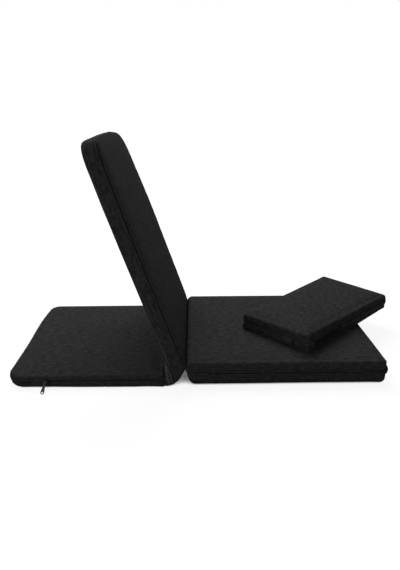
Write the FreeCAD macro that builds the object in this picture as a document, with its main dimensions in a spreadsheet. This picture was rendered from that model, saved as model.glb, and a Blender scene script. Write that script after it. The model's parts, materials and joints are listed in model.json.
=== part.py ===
import FreeCAD, Part
import math
import os

import Sketcher

# Folding floor chair: a base panel that lies on the floor, a backrest on two ratchet hinges that leans
# back over it, a loose seat pad in front of the backrest's heel and a loose cushion on the seat pad.
#
# Axes: +Z up, +X from the base towards the seat, +Y to the far side. The origin is the centre of the base
# panel's underside. The backrest's pieces are drawn upright about the hinge axis, with +X as their front,
# and their Placement leans them back. Millimetres and degrees.

SIZES = [
    ("width", 460, "width of the base, the backrest and the seat pad"),
    ("cloth", 1.2, "thickness of the quilted cover cloth"),
    ("foam_gap", 0.3, "room between a cover and its foam"),
    ("channel_gap", 0.3, "room between foam and the steel in it"),
    ("rim_round", 6, "rounding of a slab's rims"),
    # base panel
    ("base_length", 391, "base panel, from its rear end to its nose"),
    ("base_thick", 31, "base panel, floor to top"),
    ("base_corner", 50, "plan radius of the base's rear corners"),
    ("nose_round", 22, "rounding of the base's nose, above"),
    ("nose_under", 3, "rounding of the base's nose, below"),
    # hinge line
    ("hinge_reach", 21, "hinge axis ahead of the base's nose"),
    ("hinge_height", 38, "hinge axis above the floor"),
    ("back_angle", 71, "backrest above the floor at rest"),
    # backrest
    ("back_height", 571, "hinge axis to the top of the backrest"),
    ("back_front", 33.4, "hinge axis to the backrest's front face"),
    ("back_rear", 5.4, "hinge axis to the backrest's rear face"),
    ("back_corner", 55, "plan radius of the backrest's top corners"),
    ("heel_radius", 50, "round of the heel under the front face"),
    ("heel_rise", 19.5, "height of the heel's centre above the hinge axis"),
    ("heel_flare", 600, "radius of the slow flare of the rear face towards the heel"),
    ("flare_start", 90, "where the flare starts above the hinge axis"),
    ("heel_tip", 8, "rounding between the heel and the flare"),
    # seat pad
    ("seat_gap", 2.6, "heel to seat pad"),
    ("seat_length", 498, "seat pad, rear end to front"),
    ("seat_thick", 62, "seat pad, floor to top"),
    ("seat_corner", 14, "plan radius of the seat pad's front corners"),
    ("seat_rear_top", 22, "rounding of the seat pad's rear end, above"),
    ("seat_rear_under", 25, "rounding of the seat pad's rear end, below"),
    # cushion
    ("cushion_wide", 218, "cushion, short side"),
    ("cushion_long", 436, "cushion, long side"),
    ("cushion_thick", 49, "cushion, height"),
    ("cushion_corner", 12, "plan radius of the cushion's corners"),
    ("cushion_ahead", 306, "cushion's near corner ahead of the seat pad's rear end"),
    ("cushion_near", 193, "cushion's near corner, from the middle line to the near side"),
    ("cushion_turn", 45, "cushion turned from square"),
    ("cushion_gap", 0.2, "seat pad to cushion"),
    # steel tubes
    ("tube", 16, "outer diameter of the frame tubes"),
    ("tube_wall", 1.5, "wall of the frame tubes"),
    ("tube_bend", 45, "bend radius of the frame tubes' centre line"),
    ("rail_inset", 22, "side of the chair to the centre of a rail"),
    ("base_rail_height", 15.5, "rails of the base above the floor"),
    ("base_rail_start", 15, "base rails' slotted ends behind the nose"),
    ("base_frame_margin", 22, "rear end to the base frame's rear bar"),
    ("base_cross_at", 90, "base cross tube behind the nose"),
    ("back_rail_ahead", 14, "backrest rails ahead of the hinge axis"),
    ("back_rail_start", 46, "backrest rails' slotted ends above the hinge axis"),
    ("back_frame_margin", 24, "top end to the backrest frame's top bar"),
    ("back_cross_at", 110, "backrest cross tube above the hinge axis"),
    ("slot_gap", 0.1, "room on each side of a plate let into a tube"),
    ("slot_end", 1, "room beyond the end of that plate"),
    ("channel_run", 20, "the foam's channel beyond the ends of the backrest's rails"),
    # webbing
    ("web_wide", 45, "width of a webbing strap"),
    ("web_thick", 1.5, "thickness of a webbing strap"),
    ("web_first", 165, "middle of the lowest strap above the hinge axis"),
    ("web_pitch", 105, "from strap to strap"),
    ("web_count", 4, "number of straps"),
    ("web_gap", 0.2, "room between a strap and its rail"),
    # ratchet hinges
    ("leaf_thick", 4, "toothed leaf and pawl"),
    ("cheek_thick", 2, "cheek plates"),
    ("plate_gap", 0.3, "room between a leaf and a cheek"),
    ("tooth_tip", 17, "radius of the tooth tips"),
    ("tooth_root", 13.2, "radius of the tooth roots"),
    ("tooth_pitch", 14, "angle from tooth to tooth"),
    ("tooth_count", 7, "notches in the leaf"),
    ("notch_face", 1.2, "locking face behind the radius through the notch"),
    ("notch_ramp", 3.2, "run of the ramp ahead of the radius, above the tips"),
    ("notch_room", 0.2, "room between the pawl's nose and its notch"),
    ("notch_over", 1.5, "top of a notch's outline above the tooth tips"),
    ("pivot", 4, "radius of the pivot"),
    ("pivot_fit", 0.05, "running fit of pivots and pins"),
    ("seat_fit", 0.02, "fit of a rivet in a plate that it holds"),
    ("pivot_head", 7, "radius of the pivot's heads"),
    ("head_thick", 1.8, "thickness of the pivot's heads"),
    ("cheek_hub", 18.5, "radius of a cheek round the hinge axis"),
    ("pawl_ahead", 24, "pawl pin ahead of the hinge axis"),
    ("pawl_up", 15, "pawl pin above the hinge axis"),
    ("pawl_pin", 2.5, "radius of the pawl pin"),
    ("pawl_hub", 5, "radius of the pawl round its pin"),
    ("pawl_shoulder", 2.2, "front of the pawl's nose above the tooth tips"),
    ("pawl_back", 5.5, "back of the pawl's nose above the tooth tips"),
    ("pin_head", 4, "radius of the pawl pin's heads"),
    ("pin_head_thick", 0.9, "thickness of the pawl pin's heads"),
    ("pawl_boss", 6.5, "radius of a cheek round the pawl pin and at its tail"),
    ("cheek_tail", 78, "end of the cheeks' tails above the hinge axis"),
    ("leaf_hub", 10, "radius of the leaf's neck at the hinge axis"),
    ("leaf_neck", 6.5, "radius of the leaf's neck at its knee"),
    ("leaf_knee", 14, "leaf's knee behind the hinge axis"),
    ("leaf_tail", 81, "end of the leaf's tail behind the hinge axis"),
    ("tail_half", 6, "half the height of the leaf's tail"),
    ("rivet", 2.5, "radius of the tail rivets"),
    ("rivet_head", 4.5, "radius of the tail rivets' heads"),
    ("rivet_head_thick", 1.5, "thickness of the tail rivets' heads"),
    ("rivet_inset", 10, "last rivet from the end of a tail"),
    ("rivet_pitch", 18, "from rivet to rivet"),
    ("spring_half", 0.4, "half the thickness of the pawl spring"),
    ("spring_wide", 3, "width of the pawl spring"),
    ("spring_gap", 0.15, "pawl spring to pawl"),
    ("spring_run", 12, "straight run of the pawl spring below its foot"),
    ("spring_kick", 1, "lower end of that run behind the foot"),
    ("spring_tip", 7, "tip of the pawl spring ahead of the hinge axis"),
    ("pocket_gap", 1, "room round a hinge in the foam"),
    ("sweep_wall", 1, "front of the leaf's way through the backrest, behind the hinge axis"),
    ("sweep_foot", 14, "foot of that wall below the hinge axis"),
    # zips
    ("tape_wide", 14, "width of a zip tape"),
    ("tape_thick", 0.5, "thickness of a zip tape"),
    ("coil_wide", 4, "width of a zip's coil"),
    ("coil_high", 1.8, "height of a zip's coil over the cloth"),
    ("slider_gap", 0.3, "room between a slider and its coil"),
    ("slider_long", 11, "length of a slider"),
    ("slider_wall", 1, "wall of a slider"),
    ("slider_taper", 5.5, "length of the taper towards a slider's nose"),
    ("slider_tip", 0.2, "nose of a slider beyond the room for the coil, on each side"),
    ("bridge", 0.8, "radius of a slider's bridge"),
    ("bridge_leg", 1.6, "width of a leg of that bridge"),
    ("bridge_gap", 0.4, "room between a pull's eye and a leg of the bridge"),
    ("pull_eye", 1.9, "outer radius of a pull's eye"),
    ("pull_eye_wide", 3.4, "length of a pull's eye"),
    ("pull_thick", 1.6, "thickness of a pull"),
    ("pull_root", 1.9, "half width of a pull beside its eye"),
    ("pull_half", 4.6, "half width of a pull's ring end"),
    ("pull_rim", 1.9, "width of the rim round the hole in a pull"),
    ("pull_soft", 1.8, "rounding of a pull's corners"),
    ("pull_hole_soft", 0.7, "rounding of the corners of the hole in a pull"),
    ("base_pull", 30, "length of the base's pull"),
    ("base_pull_droop", 32, "base's pull below the level at rest"),
    ("base_pull_askew", 4, "base's pull from square to its zip"),
    ("small_pull", 26, "length of the seat's and the cushion's pulls"),
    ("base_zip_height", 17, "base zip above the floor"),
    ("base_zip_reach", 106, "the zip's run along each side from the base's rear end"),
    ("base_slider_at", 7, "slider's middle from the end of the base zip"),
    ("back_zip_ahead", 22, "backrest zip ahead of the hinge axis"),
    ("back_zip_low", 25, "lower end of the backrest zip above the hinge axis"),
    ("back_zip_margin", 62, "upper end of the backrest zip under the top"),
    ("seat_zip_height", 36, "seat zip above the floor"),
    ("seat_zip_rear", 56, "rear end of the seat zip from the seat pad's rear end"),
    ("seat_zip_round", 150, "seat zip's run across the front end"),
    ("cushion_zip_height", 24.5, "cushion zip above the cushion's underside"),
    ("cushion_zip_start", 30, "start of the cushion zip from the near corner"),
    ("cushion_zip_round", 110, "cushion zip's run across its far short side"),
    # blank folded tab in the cushion's seam
    ("tab_wide", 26, "width of the tab"),
    ("tab_drop", 13, "how far the tab hangs"),
    ("tab_at", 62, "tab's middle from the near corner"),
    ("tab_thick", 0.8, "thickness of the tab's tape"),
    ("tab_loop", 1.1, "inner radius of the tab's fold"),
    # cloth that bridges the fold
    ("fold_margin", 0.6, "cloth across the fold, from each side of the chair"),
    ("fold_gap", 0.5, "room between that cloth and the covers"),
    ("fold_slack", 0.3, "more room where that cloth goes round a curve"),
    ("fold_valley", 4, "valley of that cloth ahead of the nose"),
    ("fold_height", 24.8, "valley of that cloth above the floor"),
    ("fold_reach", 40, "upper hem of that cloth above the hinge axis, along the back"),
    ("fold_under_rear", 87, "rear end of its underside round the heel's centre, below level"),
    ("fold_under_front", 66, "front end of its underside round the heel's centre, below level"),
]

V = FreeCAD.Vector
Rule = Sketcher.Constraint
CENTRE = 3
START, END = 1, 2
ROOT = -1

# Derived places, as expressions of the sheet.
HINGE_X = "(dims.base_length / 2 + dims.hinge_reach)"
NOSE_X = "(dims.base_length / 2)"
HEEL_X = "(dims.back_front - dims.heel_radius)"
HEEL_BEHIND = f"({HEEL_X} * sin(dims.back_angle) - dims.heel_rise * cos(dims.back_angle))"
HEEL_ABOVE = f"({HEEL_X} * cos(dims.back_angle) + dims.heel_rise * sin(dims.back_angle))"
HEEL_FRONT = f"({HINGE_X} + {HEEL_BEHIND} + dims.heel_radius)"
SEAT_X = f"({HEEL_FRONT} + dims.seat_gap)"
SEAT_FRONT = f"({SEAT_X} + dims.seat_length)"
SIDE_Y = "(dims.width / 2)"
RAIL_Y = f"({SIDE_Y} - dims.rail_inset)"
PLACES = (("left", f"(-{RAIL_Y})"), ("right", RAIL_Y))
STACK_HALF = "(dims.leaf_thick / 2 + dims.plate_gap + dims.cheek_thick)"
LEAF_HALF = "(dims.leaf_thick / 2)"
RAIL_DROP = "(dims.base_rail_height - dims.hinge_height)"
BRIDGE_OUT = (
    "(dims.coil_high + dims.slider_gap + dims.slider_wall + dims.pull_eye + dims.slider_gap)"
)

doc = FreeCAD.newDocument("floor_chair")
sheet = doc.addObject("Spreadsheet::Sheet", "dims")
for row, (alias, value, meaning) in enumerate(SIZES, start=1):
    sheet.set(f"A{row}", alias)
    sheet.set(f"B{row}", str(value))
    sheet.set(f"C{row}", meaning)
    sheet.setAlias(f"B{row}", alias)
doc.recompute()

parts = []


# ---------------------------------------------------------------- document helpers


def number(expression):
    """Value of an expression of the sheet, for a sketch's first guess."""
    return float(sheet.evalExpression(str(expression)))


def keep(obj, label):
    """Name an object and list it among the sub-parts that are written out."""
    obj.Label = label
    parts.append(obj)
    return obj


def new_body(name):
    return doc.addObject("PartDesign::Body", name)


def origin_plane(body, role):
    return next(f for f in body.Origin.OriginFeatures if f.Role == role)


def sketch_on(body, role, name, offset=None):
    """A sketch on one of the body's origin planes, moved along the plane's normal."""
    sketch = body.newObject("Sketcher::SketchObject", f"{body.Name}_{name}")
    sketch.AttachmentSupport = [(origin_plane(body, role), "")]
    sketch.MapMode = "FlatFace"
    if offset is not None:
        sketch.setExpression("AttachmentOffset.Base.z", offset)
    return sketch


def rule(sketch, expression, kind, *where):
    """A dimension in a sketch, bound to an expression."""
    index = sketch.addConstraint(Rule(kind, *where, number(expression)))
    sketch.setExpression(f"Constraints[{index}]", expression)


def hold(sketch, geometry, point, x, y):
    """Hold one point of a sketch at two expressions."""
    rule(sketch, x, "DistanceX", ROOT, 1, geometry, point)
    rule(sketch, y, "DistanceY", ROOT, 1, geometry, point)


def circle(sketch, x, y, radius):
    shape = Part.Circle(V(number(x), number(y), 0), V(0, 0, 1), number(radius))
    index = sketch.addGeometry(shape, False)
    hold(sketch, index, CENTRE, x, y)
    rule(sketch, radius, "Radius", index)


def tangent_points(first, second):
    """Ends of the line that touches two discs (x, y, r) on the right of the way from first to second."""
    dx, dy = second[0] - first[0], second[1] - first[1]
    length = math.hypot(dx, dy)
    lean = (first[2] - second[2]) / length
    across = math.sqrt(1 - lean * lean)
    nx = (dy * across + dx * lean) / length
    ny = (-dx * across + dy * lean) / length
    return [V(x + nx * r, y + ny * r, 0) for x, y, r in (first, second)]


def band(sketch, rounds):
    """An outline pulled round discs, anticlockwise, each (x, y, radius). Radius None makes a corner."""
    discs = [
        (number(x), number(y), 0.0 if r is None else number(r)) for x, y, r in rounds
    ]
    count = len(discs)
    runs = [tangent_points(discs[i], discs[(i + 1) % count]) for i in range(count)]
    lines = [sketch.addGeometry(Part.LineSegment(a, b), False) for a, b in runs]
    for i, (x, y, r) in enumerate(rounds):
        before, after = lines[i - 1], lines[i]
        if r is None:
            sketch.addConstraint(Rule("Coincident", before, END, after, START))
            hold(sketch, after, START, x, y)
            continue
        centre = V(discs[i][0], discs[i][1], 0)
        come, leave = (p - centre for p in (runs[i - 1][1], runs[i][0]))
        first = math.atan2(come.y, come.x)
        last = math.atan2(leave.y, leave.x)
        last += 2 * math.pi * (last < first)
        ring = Part.Circle(centre, V(0, 0, 1), discs[i][2])
        arc = sketch.addGeometry(Part.ArcOfCircle(ring, first, last), False)
        sketch.addConstraint(Rule("Tangent", before, END, arc, START))
        sketch.addConstraint(Rule("Tangent", arc, END, after, START))
        hold(sketch, arc, CENTRE, x, y)
        rule(sketch, r, "Radius", arc)


def finish_body(body, feature):
    body.Tip = feature
    return feature


def pad(body, sketch, length, name="pad", symmetric=False, reverse=False):
    feature = body.newObject("PartDesign::Pad", f"{body.Name}_{name}")
    feature.Profile = sketch
    feature.SideType = "Symmetric" if symmetric else "One side"
    feature.Reversed = reverse
    feature.setExpression("Length", length)
    sketch.Visibility = False
    return finish_body(body, feature)


def pocket(body, sketch, length, name="pocket", symmetric=True, reverse=False):
    feature = body.newObject("PartDesign::Pocket", f"{body.Name}_{name}")
    feature.Profile = sketch
    feature.SideType = "Symmetric" if symmetric else "One side"
    feature.Reversed = reverse
    feature.setExpression("Length", length)
    return finish_body(body, feature)


def normal_near(face, point):
    u, v = face.Surface.parameter(point)
    return face.normalAt(u, v)


def is_sharp(shape, edge):
    """True where the two faces beside an edge don't meet smoothly."""
    faces = shape.ancestorsOfType(edge, Part.Face)
    if len(faces) != 2:
        return False
    middle = edge.valueAt((edge.FirstParameter + edge.LastParameter) / 2)
    first, second = (normal_near(face, middle) for face in faces)
    return math.degrees(first.getAngle(second)) > 5


def ease_edges(body, base, size, wanted, name, kind="Fillet"):
    """Fillet or chamfer the edges of a feature that wanted(shape, edge) picks."""
    doc.recompute()
    names = [
        f"Edge{i}"
        for i, edge in enumerate(base.Shape.Edges, start=1)
        if wanted(base.Shape, edge)
    ]
    if not names:
        raise ValueError(f"{body.Name}: no edge to ease for {name}")
    feature = body.newObject(f"PartDesign::{kind}", f"{body.Name}_{name}")
    feature.Base = (base, names)
    feature.setExpression("Radius" if kind == "Fillet" else "Size", size)
    return finish_body(body, feature)


def run_along(shape, edge, direction, places):
    """True for a straight edge along direction with a vertex at one of places, (axis, value)."""
    if not isinstance(edge.Curve, Part.Line):
        return False
    if abs(edge.Curve.Direction.dot(direction)) < 0.999:
        return False
    point = edge.Vertexes[0].Point
    return all(
        any(abs(getattr(point, axis) - value) < 1e-4 for value in values)
        for axis, values in places
    )


def combine(kind, name, base, tools):
    """A boolean of one object with others: Cut takes tools away, Common keeps what they share."""
    if len(tools) == 1:
        tool = tools[0]
    else:
        tool = doc.addObject("Part::MultiFuse", f"{name}_tools")
        tool.Shapes = tools
    result = doc.addObject(f"Part::{kind}", name)
    result.Base = base
    result.Tool = tool
    return result


def join(name, shapes):
    result = doc.addObject("Part::MultiFuse", name)
    result.Shapes = shapes
    return result


def group(name, shapes):
    """Separate solids of one kind in one sub-part."""
    result = doc.addObject("Part::Compound", name)
    result.Links = shapes
    return result


def place(obj, x="0", y="0", z="0"):
    for axis, expression in (("x", x), ("y", y), ("z", z)):
        obj.setExpression(f"Placement.Base.{axis}", expression)
    return obj


def lean(obj):
    """Stand a backrest piece, drawn upright about the hinge axis, on the hinge and lean it back."""
    obj.Placement = FreeCAD.Placement(V(0, 0, 0), FreeCAD.Rotation(V(0, 1, 0), -1))
    obj.setExpression("Placement.Rotation.Angle", "dims.back_angle - 90")
    return place(obj, HINGE_X, "0", "dims.hinge_height")


def on_hinge(obj):
    """Put a piece that is drawn about the hinge axis, and doesn't lean, on the hinge."""
    return place(obj, HINGE_X, "0", "dims.hinge_height")


# ---------------------------------------------------------------- soft slabs


def slab(name, draw, width, corners, corner_round, inset, rims="Fillet"):
    """A padded slab: a side outline across the width, its corners rounded and then its rims eased."""
    body = new_body(name)
    outline = sketch_on(body, "XZ_Plane", "outline")
    draw(outline, inset)
    block = pad(body, outline, f"{width} - 2 * {inset}", symmetric=True)
    shaped = ease_edges(
        body, block, f"{corner_round} - {inset}", lambda s, e: corners(s, e, inset), "corners"
    )
    ease_edges(body, shaped, f"dims.rim_round - {inset}", is_sharp, "rims", rims)
    return body


def draw_base(sketch, inset):
    rear = f"-dims.base_length / 2 + {inset}"
    top = f"dims.base_thick - {inset}"
    under, above = "dims.nose_under", f"dims.nose_round - {inset}"
    band(
        sketch,
        [
            (rear, inset, None),
            (f"{NOSE_X} - {inset} - {under}", f"{inset} + {under}", under),
            (f"{NOSE_X} - {inset} - ({above})", f"{top} - ({above})", above),
            (rear, top, None),
        ],
    )


def base_corners(shape, edge, inset):
    rear = number(f"-dims.base_length / 2 + {inset}")
    return run_along(shape, edge, V(0, 0, 1), [("x", [rear])])


def draw_seat(sketch, inset):
    top = f"dims.seat_thick - {inset}"
    under, above = f"dims.seat_rear_under - {inset}", f"dims.seat_rear_top - {inset}"
    band(
        sketch,
        [
            (f"{SEAT_X} + {inset} + {under}", f"{inset} + {under}", under),
            (f"{SEAT_FRONT} - {inset}", inset, None),
            (f"{SEAT_FRONT} - {inset}", top, None),
            (f"{SEAT_X} + {inset} + {above}", f"{top} - ({above})", above),
        ],
    )


def seat_corners(shape, edge, inset):
    front = number(f"{SEAT_FRONT} - {inset}")
    return run_along(shape, edge, V(0, 0, 1), [("x", [front])])


def draw_cushion(sketch, inset):
    wide = f"dims.cushion_long - {inset}"
    top = f"dims.cushion_thick - {inset}"
    band(sketch, [(inset, inset, None), (wide, inset, None), (wide, top, None), (inset, top, None)])


def cushion_corners(shape, edge, inset):
    return run_along(shape, edge, V(0, 0, 1), [])


def draw_back(sketch, inset):
    """Side outline of the backrest, upright: rear face, slow flare, heel, front face and top."""
    rear, front = f"-dims.back_rear + {inset}", f"dims.back_front - {inset}"
    top = f"dims.back_height - {inset}"
    flare_x, flare_r = "-dims.back_rear - dims.heel_flare", f"dims.heel_flare + {inset}"
    heel_r, tip_r = f"dims.heel_radius - {inset}", f"dims.heel_tip - {inset}"
    flare = V(number(flare_x), number("dims.flare_start"), 0)
    heel = V(number(HEEL_X), number("dims.heel_rise"), 0)
    # the tip's disc touches the flare from outside and the heel from inside
    far, near = number(flare_r) + number(tip_r), number(heel_r) - number(tip_r)
    apart = heel - flare
    along = (far**2 - near**2 + apart.Length**2) / (2 * apart.Length)
    off = math.sqrt(far**2 - along**2)
    unit = apart * (1 / apart.Length)
    tip = flare + unit * along + V(unit.y, -unit.x, 0) * off
    up_flare, up_heel = tip - flare, tip - heel
    meet_flare = math.atan2(up_flare.y, up_flare.x)
    meet_heel = math.atan2(up_heel.y, up_heel.x)
    guess = {
        "flare": (flare, number(flare_r), meet_flare, 0),
        "tip": (tip, number(tip_r), meet_flare + math.pi, meet_heel + 2 * math.pi),
        "heel": (heel, number(heel_r), meet_heel, 0),
    }
    arcs = {
        key: sketch.addGeometry(
            Part.ArcOfCircle(Part.Circle(centre, V(0, 0, 1), radius), a, b), False
        )
        for key, (centre, radius, a, b) in guess.items()
    }
    ends = [
        (rear, top, rear, "dims.flare_start"),
        (front, "dims.heel_rise", front, top),
        (front, top, rear, top),
    ]
    lines = [
        sketch.addGeometry(
            Part.LineSegment(V(number(a), number(b), 0), V(number(c), number(d), 0)), False
        )
        for a, b, c, d in ends
    ]
    down, up, across = lines
    hold(sketch, down, START, rear, top)
    hold(sketch, up, END, front, top)
    sketch.addConstraint(Rule("Vertical", down))
    sketch.addConstraint(Rule("Vertical", up))
    sketch.addConstraint(Rule("Coincident", up, END, across, START))
    sketch.addConstraint(Rule("Coincident", across, END, down, START))
    hold(sketch, arcs["flare"], CENTRE, flare_x, "dims.flare_start")
    hold(sketch, arcs["heel"], CENTRE, HEEL_X, "dims.heel_rise")
    rule(sketch, tip_r, "Radius", arcs["tip"])
    sketch.addConstraint(Rule("Tangent", down, END, arcs["flare"], END))
    sketch.addConstraint(Rule("Tangent", arcs["flare"], START, arcs["tip"], START))
    sketch.addConstraint(Rule("Tangent", arcs["tip"], END, arcs["heel"], START))
    sketch.addConstraint(Rule("Tangent", arcs["heel"], END, up, START))


def back_corners(shape, edge, inset):
    top = number(f"dims.back_height - {inset}")
    return run_along(shape, edge, V(1, 0, 0), [("z", [top])])


# Side outline, width, corners and their rounding, and how the foam's rims are cut: round where the
# nose is too tight for a chamfer.
SLABS = {
    "base": (draw_base, "dims.width", base_corners, "dims.base_corner", "Fillet"),
    "backrest": (draw_back, "dims.width", back_corners, "dims.back_corner", "Chamfer"),
    "seat": (draw_seat, "dims.width", seat_corners, "dims.seat_corner", "Chamfer"),
    "cushion": (
        draw_cushion, "dims.cushion_wide", cushion_corners, "dims.cushion_corner", "Chamfer",
    ),
}


def soft_pair(key):
    """The outer and inner skins of a cover, and the foam that fills it."""
    draw, width, corners, corner_round, foam_rims = SLABS[key]
    layers = [
        ("outer", "0", "Fillet"),
        ("inner", "dims.cloth", "Fillet"),
        ("filling", "(dims.cloth + dims.foam_gap)", foam_rims),
    ]
    return [
        slab(f"{key}_{name}", draw, width, corners, corner_round, inset, rims)
        for name, inset, rims in layers
    ]


# ---------------------------------------------------------------- steel frames


def ring(sketch, x, y):
    """Section of a frame tube."""
    circle(sketch, x, y, TUBE_R)
    circle(sketch, x, y, "(dims.tube / 2 - dims.tube_wall)")


def square(sketch, x, y):
    """Section of the channel that is cut in foam for a frame tube."""
    band(
        sketch,
        box(f"{x} - {CHANNEL_R}", f"{x} + {CHANNEL_R}", f"{y} - {CHANNEL_R}", f"{y} + {CHANNEL_R}"),
    )


def bent(name, role, way, start, bar, level, draw_section):
    """A U of tube or channel: two rails and the bar that joins them.

    role names the plane of the U and level its distance from the origin. way, 1 or -1, leads from the
    bar to the rails' open ends, start is the place of those ends along the rails and bar that of the
    bar.
    """
    body = new_body(name)
    path = sketch_on(body, role, "path", level)
    bend = "dims.tube_bend"
    across_first = role == "YZ_Plane"
    corner = f"({bar} + {way} * {bend})"
    near, far = (at for _, at in PLACES)

    def spot(along, across):
        """A place along the rails and across them, in the sketch's own axes."""
        return (across, along) if across_first else (along, across)

    def point(along, across):
        x, y = spot(along, across)
        return V(number(x), number(y), 0)

    bends = (f"({near} + {bend})", f"({far} - {bend})")
    legs = [
        (point(start, near), point(corner, near)),
        (point(bar, bends[0]), point(bar, bends[1])),
        (point(corner, far), point(start, far)),
    ]
    lines = [path.addGeometry(Part.LineSegment(a, b), False) for a, b in legs]
    for i, side in enumerate(bends):
        centre = point(corner, side)
        angles = [
            math.atan2((p - centre).y, (p - centre).x) for p in (legs[i][1], legs[i + 1][0])
        ]
        forward = (angles[1] - angles[0]) % (2 * math.pi) < math.pi
        first, last = angles if forward else angles[::-1]
        last += 2 * math.pi * (last < first)
        whole = Part.Circle(centre, V(0, 0, 1), number(bend))
        arc = path.addGeometry(Part.ArcOfCircle(whole, first, last), False)
        enter, leave = (START, END) if forward else (END, START)
        path.addConstraint(Rule("Tangent", lines[i], END, arc, enter))
        path.addConstraint(Rule("Tangent", arc, leave, lines[i + 1], START))
        hold(path, arc, CENTRE, *spot(corner, side))
        rule(path, bend, "Radius", arc)
    hold(path, lines[0], START, *spot(start, near))
    hold(path, lines[2], END, *spot(start, far))
    profile = sketch_on(body, "XY_Plane" if across_first else "YZ_Plane", "profile", start)
    draw_section(profile, *((level, near) if across_first else (near, level)))
    doc.recompute()
    pipe = body.newObject("PartDesign::AdditivePipe", f"{name}_pipe")
    pipe.Profile = profile
    pipe.Spine = path
    finish_body(body, pipe)
    return body


def cross_piece(name, x, z, draw_section):
    """A straight tube or channel across the chair between the two rails."""
    body = new_body(name)
    ends = sketch_on(body, "XZ_Plane", "ends")
    draw_section(ends, x, z)
    pad(body, ends, f"2 * ({RAIL_Y} - dims.tube / 2)", symmetric=True)
    return body


def box(x_low, x_high, y_low, y_high):
    """Corners of an upright rectangle, for band()."""
    corners = [(x_low, y_low), (x_high, y_low), (x_high, y_high), (x_low, y_high)]
    return [(x, y, None) for x, y in corners]


def plate_slot(body, rounds, thick):
    """Slots for the hinge plates in both ends of a bent tube."""
    for side, at in PLACES:
        cut = sketch_on(body, "XZ_Plane", f"slot_{side}", f"-({at})")
        band(cut, rounds)
        pocket(body, cut, f"{thick} + 2 * dims.slot_gap", f"cut_{side}")


TUBE_R = "(dims.tube / 2)"
CHANNEL_R = f"({TUBE_R} + dims.channel_gap)"
BASE_TUBE_START = f"({NOSE_X} - dims.base_rail_start)"
BASE_TUBE_REAR = "(-dims.base_length / 2 + dims.base_frame_margin)"
BACK_TUBE_TOP = "(dims.back_height - dims.back_frame_margin)"
BASE_CROSS = (f"({NOSE_X} - dims.base_cross_at)", "dims.base_rail_height")
BACK_CROSS = ("dims.back_rail_ahead", "dims.back_cross_at")


def base_bent(name, start, draw_section):
    level = "dims.base_rail_height"
    return bent(name, "XY_Plane", "1", start, BASE_TUBE_REAR, level, draw_section)


def back_bent(name, start, draw_section):
    level = "dims.back_rail_ahead"
    return bent(name, "YZ_Plane", "(-1)", start, BACK_TUBE_TOP, level, draw_section)


# ---------------------------------------------------------------- ratchet hinges

TAIL_TOP = "(dims.cheek_tail + dims.pawl_boss)"
LEAF_END = "(dims.leaf_tail + dims.tail_half)"


def plate(name, rounds, thick, at="0"):
    """A flat plate in the plane of the hinge, centred on its own thickness."""
    body = new_body(name)
    outline = sketch_on(body, "XZ_Plane", "outline", f"-({at})")
    band(outline, rounds)
    pad(body, outline, thick, symmetric=True)
    return body


def drill(body, at, thick, holes, name):
    sketch = sketch_on(body, "XZ_Plane", name, f"-({at})")
    for x, z, radius in holes:
        circle(sketch, x, z, radius)
    pocket(body, sketch, f"2 * {thick}", f"{name}_cut")


def cheek_rivets_at():
    top = "(dims.cheek_tail + dims.pawl_boss - dims.rivet_inset)"
    return [("dims.back_rail_ahead", f"({top} - {i} * dims.rivet_pitch)") for i in range(2)]


def leaf_rivets_at():
    end = f"(-{LEAF_END} + dims.rivet_inset)"
    return [(f"({end} + {i} * dims.rivet_pitch)", RAIL_DROP) for i in range(2)]


CHEEK = [
    ("0", "0", "dims.cheek_hub"),
    ("dims.pawl_ahead", "dims.pawl_up", "dims.pawl_boss"),
    ("dims.back_rail_ahead", "dims.cheek_tail", "dims.pawl_boss"),
]


def toothed_leaf(side, at):
    """Leaf fixed to the base: a toothed disc, a cranked neck and a tail that is let into the rail."""
    body = new_body(f"hinge_toothed_leaf_{side}")
    disc = sketch_on(body, "XZ_Plane", "disc", f"-({at})")
    circle(disc, "0", "0", "dims.tooth_tip")
    pad(body, disc, "dims.leaf_thick", "disc_pad", symmetric=True)
    knee = ("-dims.leaf_knee", RAIL_DROP, "dims.leaf_neck")
    neck = sketch_on(body, "XZ_Plane", "neck", f"-({at})")
    band(neck, [("0", "0", "dims.leaf_hub"), knee])
    pad(body, neck, "dims.leaf_thick", "neck_pad", symmetric=True)
    tail = sketch_on(body, "XZ_Plane", "tail", f"-({at})")
    band(
        tail,
        [(knee[0], RAIL_DROP, "dims.tail_half"), ("-dims.leaf_tail", RAIL_DROP, "dims.tail_half")],
    )
    pad(body, tail, "dims.leaf_thick", "tail_pad", symmetric=True)
    holes = [("0", "0", "dims.pivot + dims.pivot_fit")]
    holes += [(x, z, "dims.rivet + dims.seat_fit") for x, z in leaf_rivets_at()]
    drill(body, at, "dims.leaf_thick", holes, "holes")
    # first notch: the one that the pawl drops into when the backrest is furthest forward
    notch = sketch_on(body, "XZ_Plane", "notch", f"-({at})")
    notch_outline(notch)
    first = pocket(body, notch, "2 * dims.leaf_thick", "notch_cut")
    doc.recompute()
    ring = body.newObject("PartDesign::PolarPattern", f"{body.Name}_teeth")
    ring.Originals = [first]
    ring.Axis = (notch, ["N_Axis"])
    ring.setExpression("Angle", "dims.tooth_pitch * (dims.tooth_count - 1)")
    ring.setExpression("Occurrences", "dims.tooth_count")
    finish_body(body, ring)
    return on_hinge(keep(body, body.Name))


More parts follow.
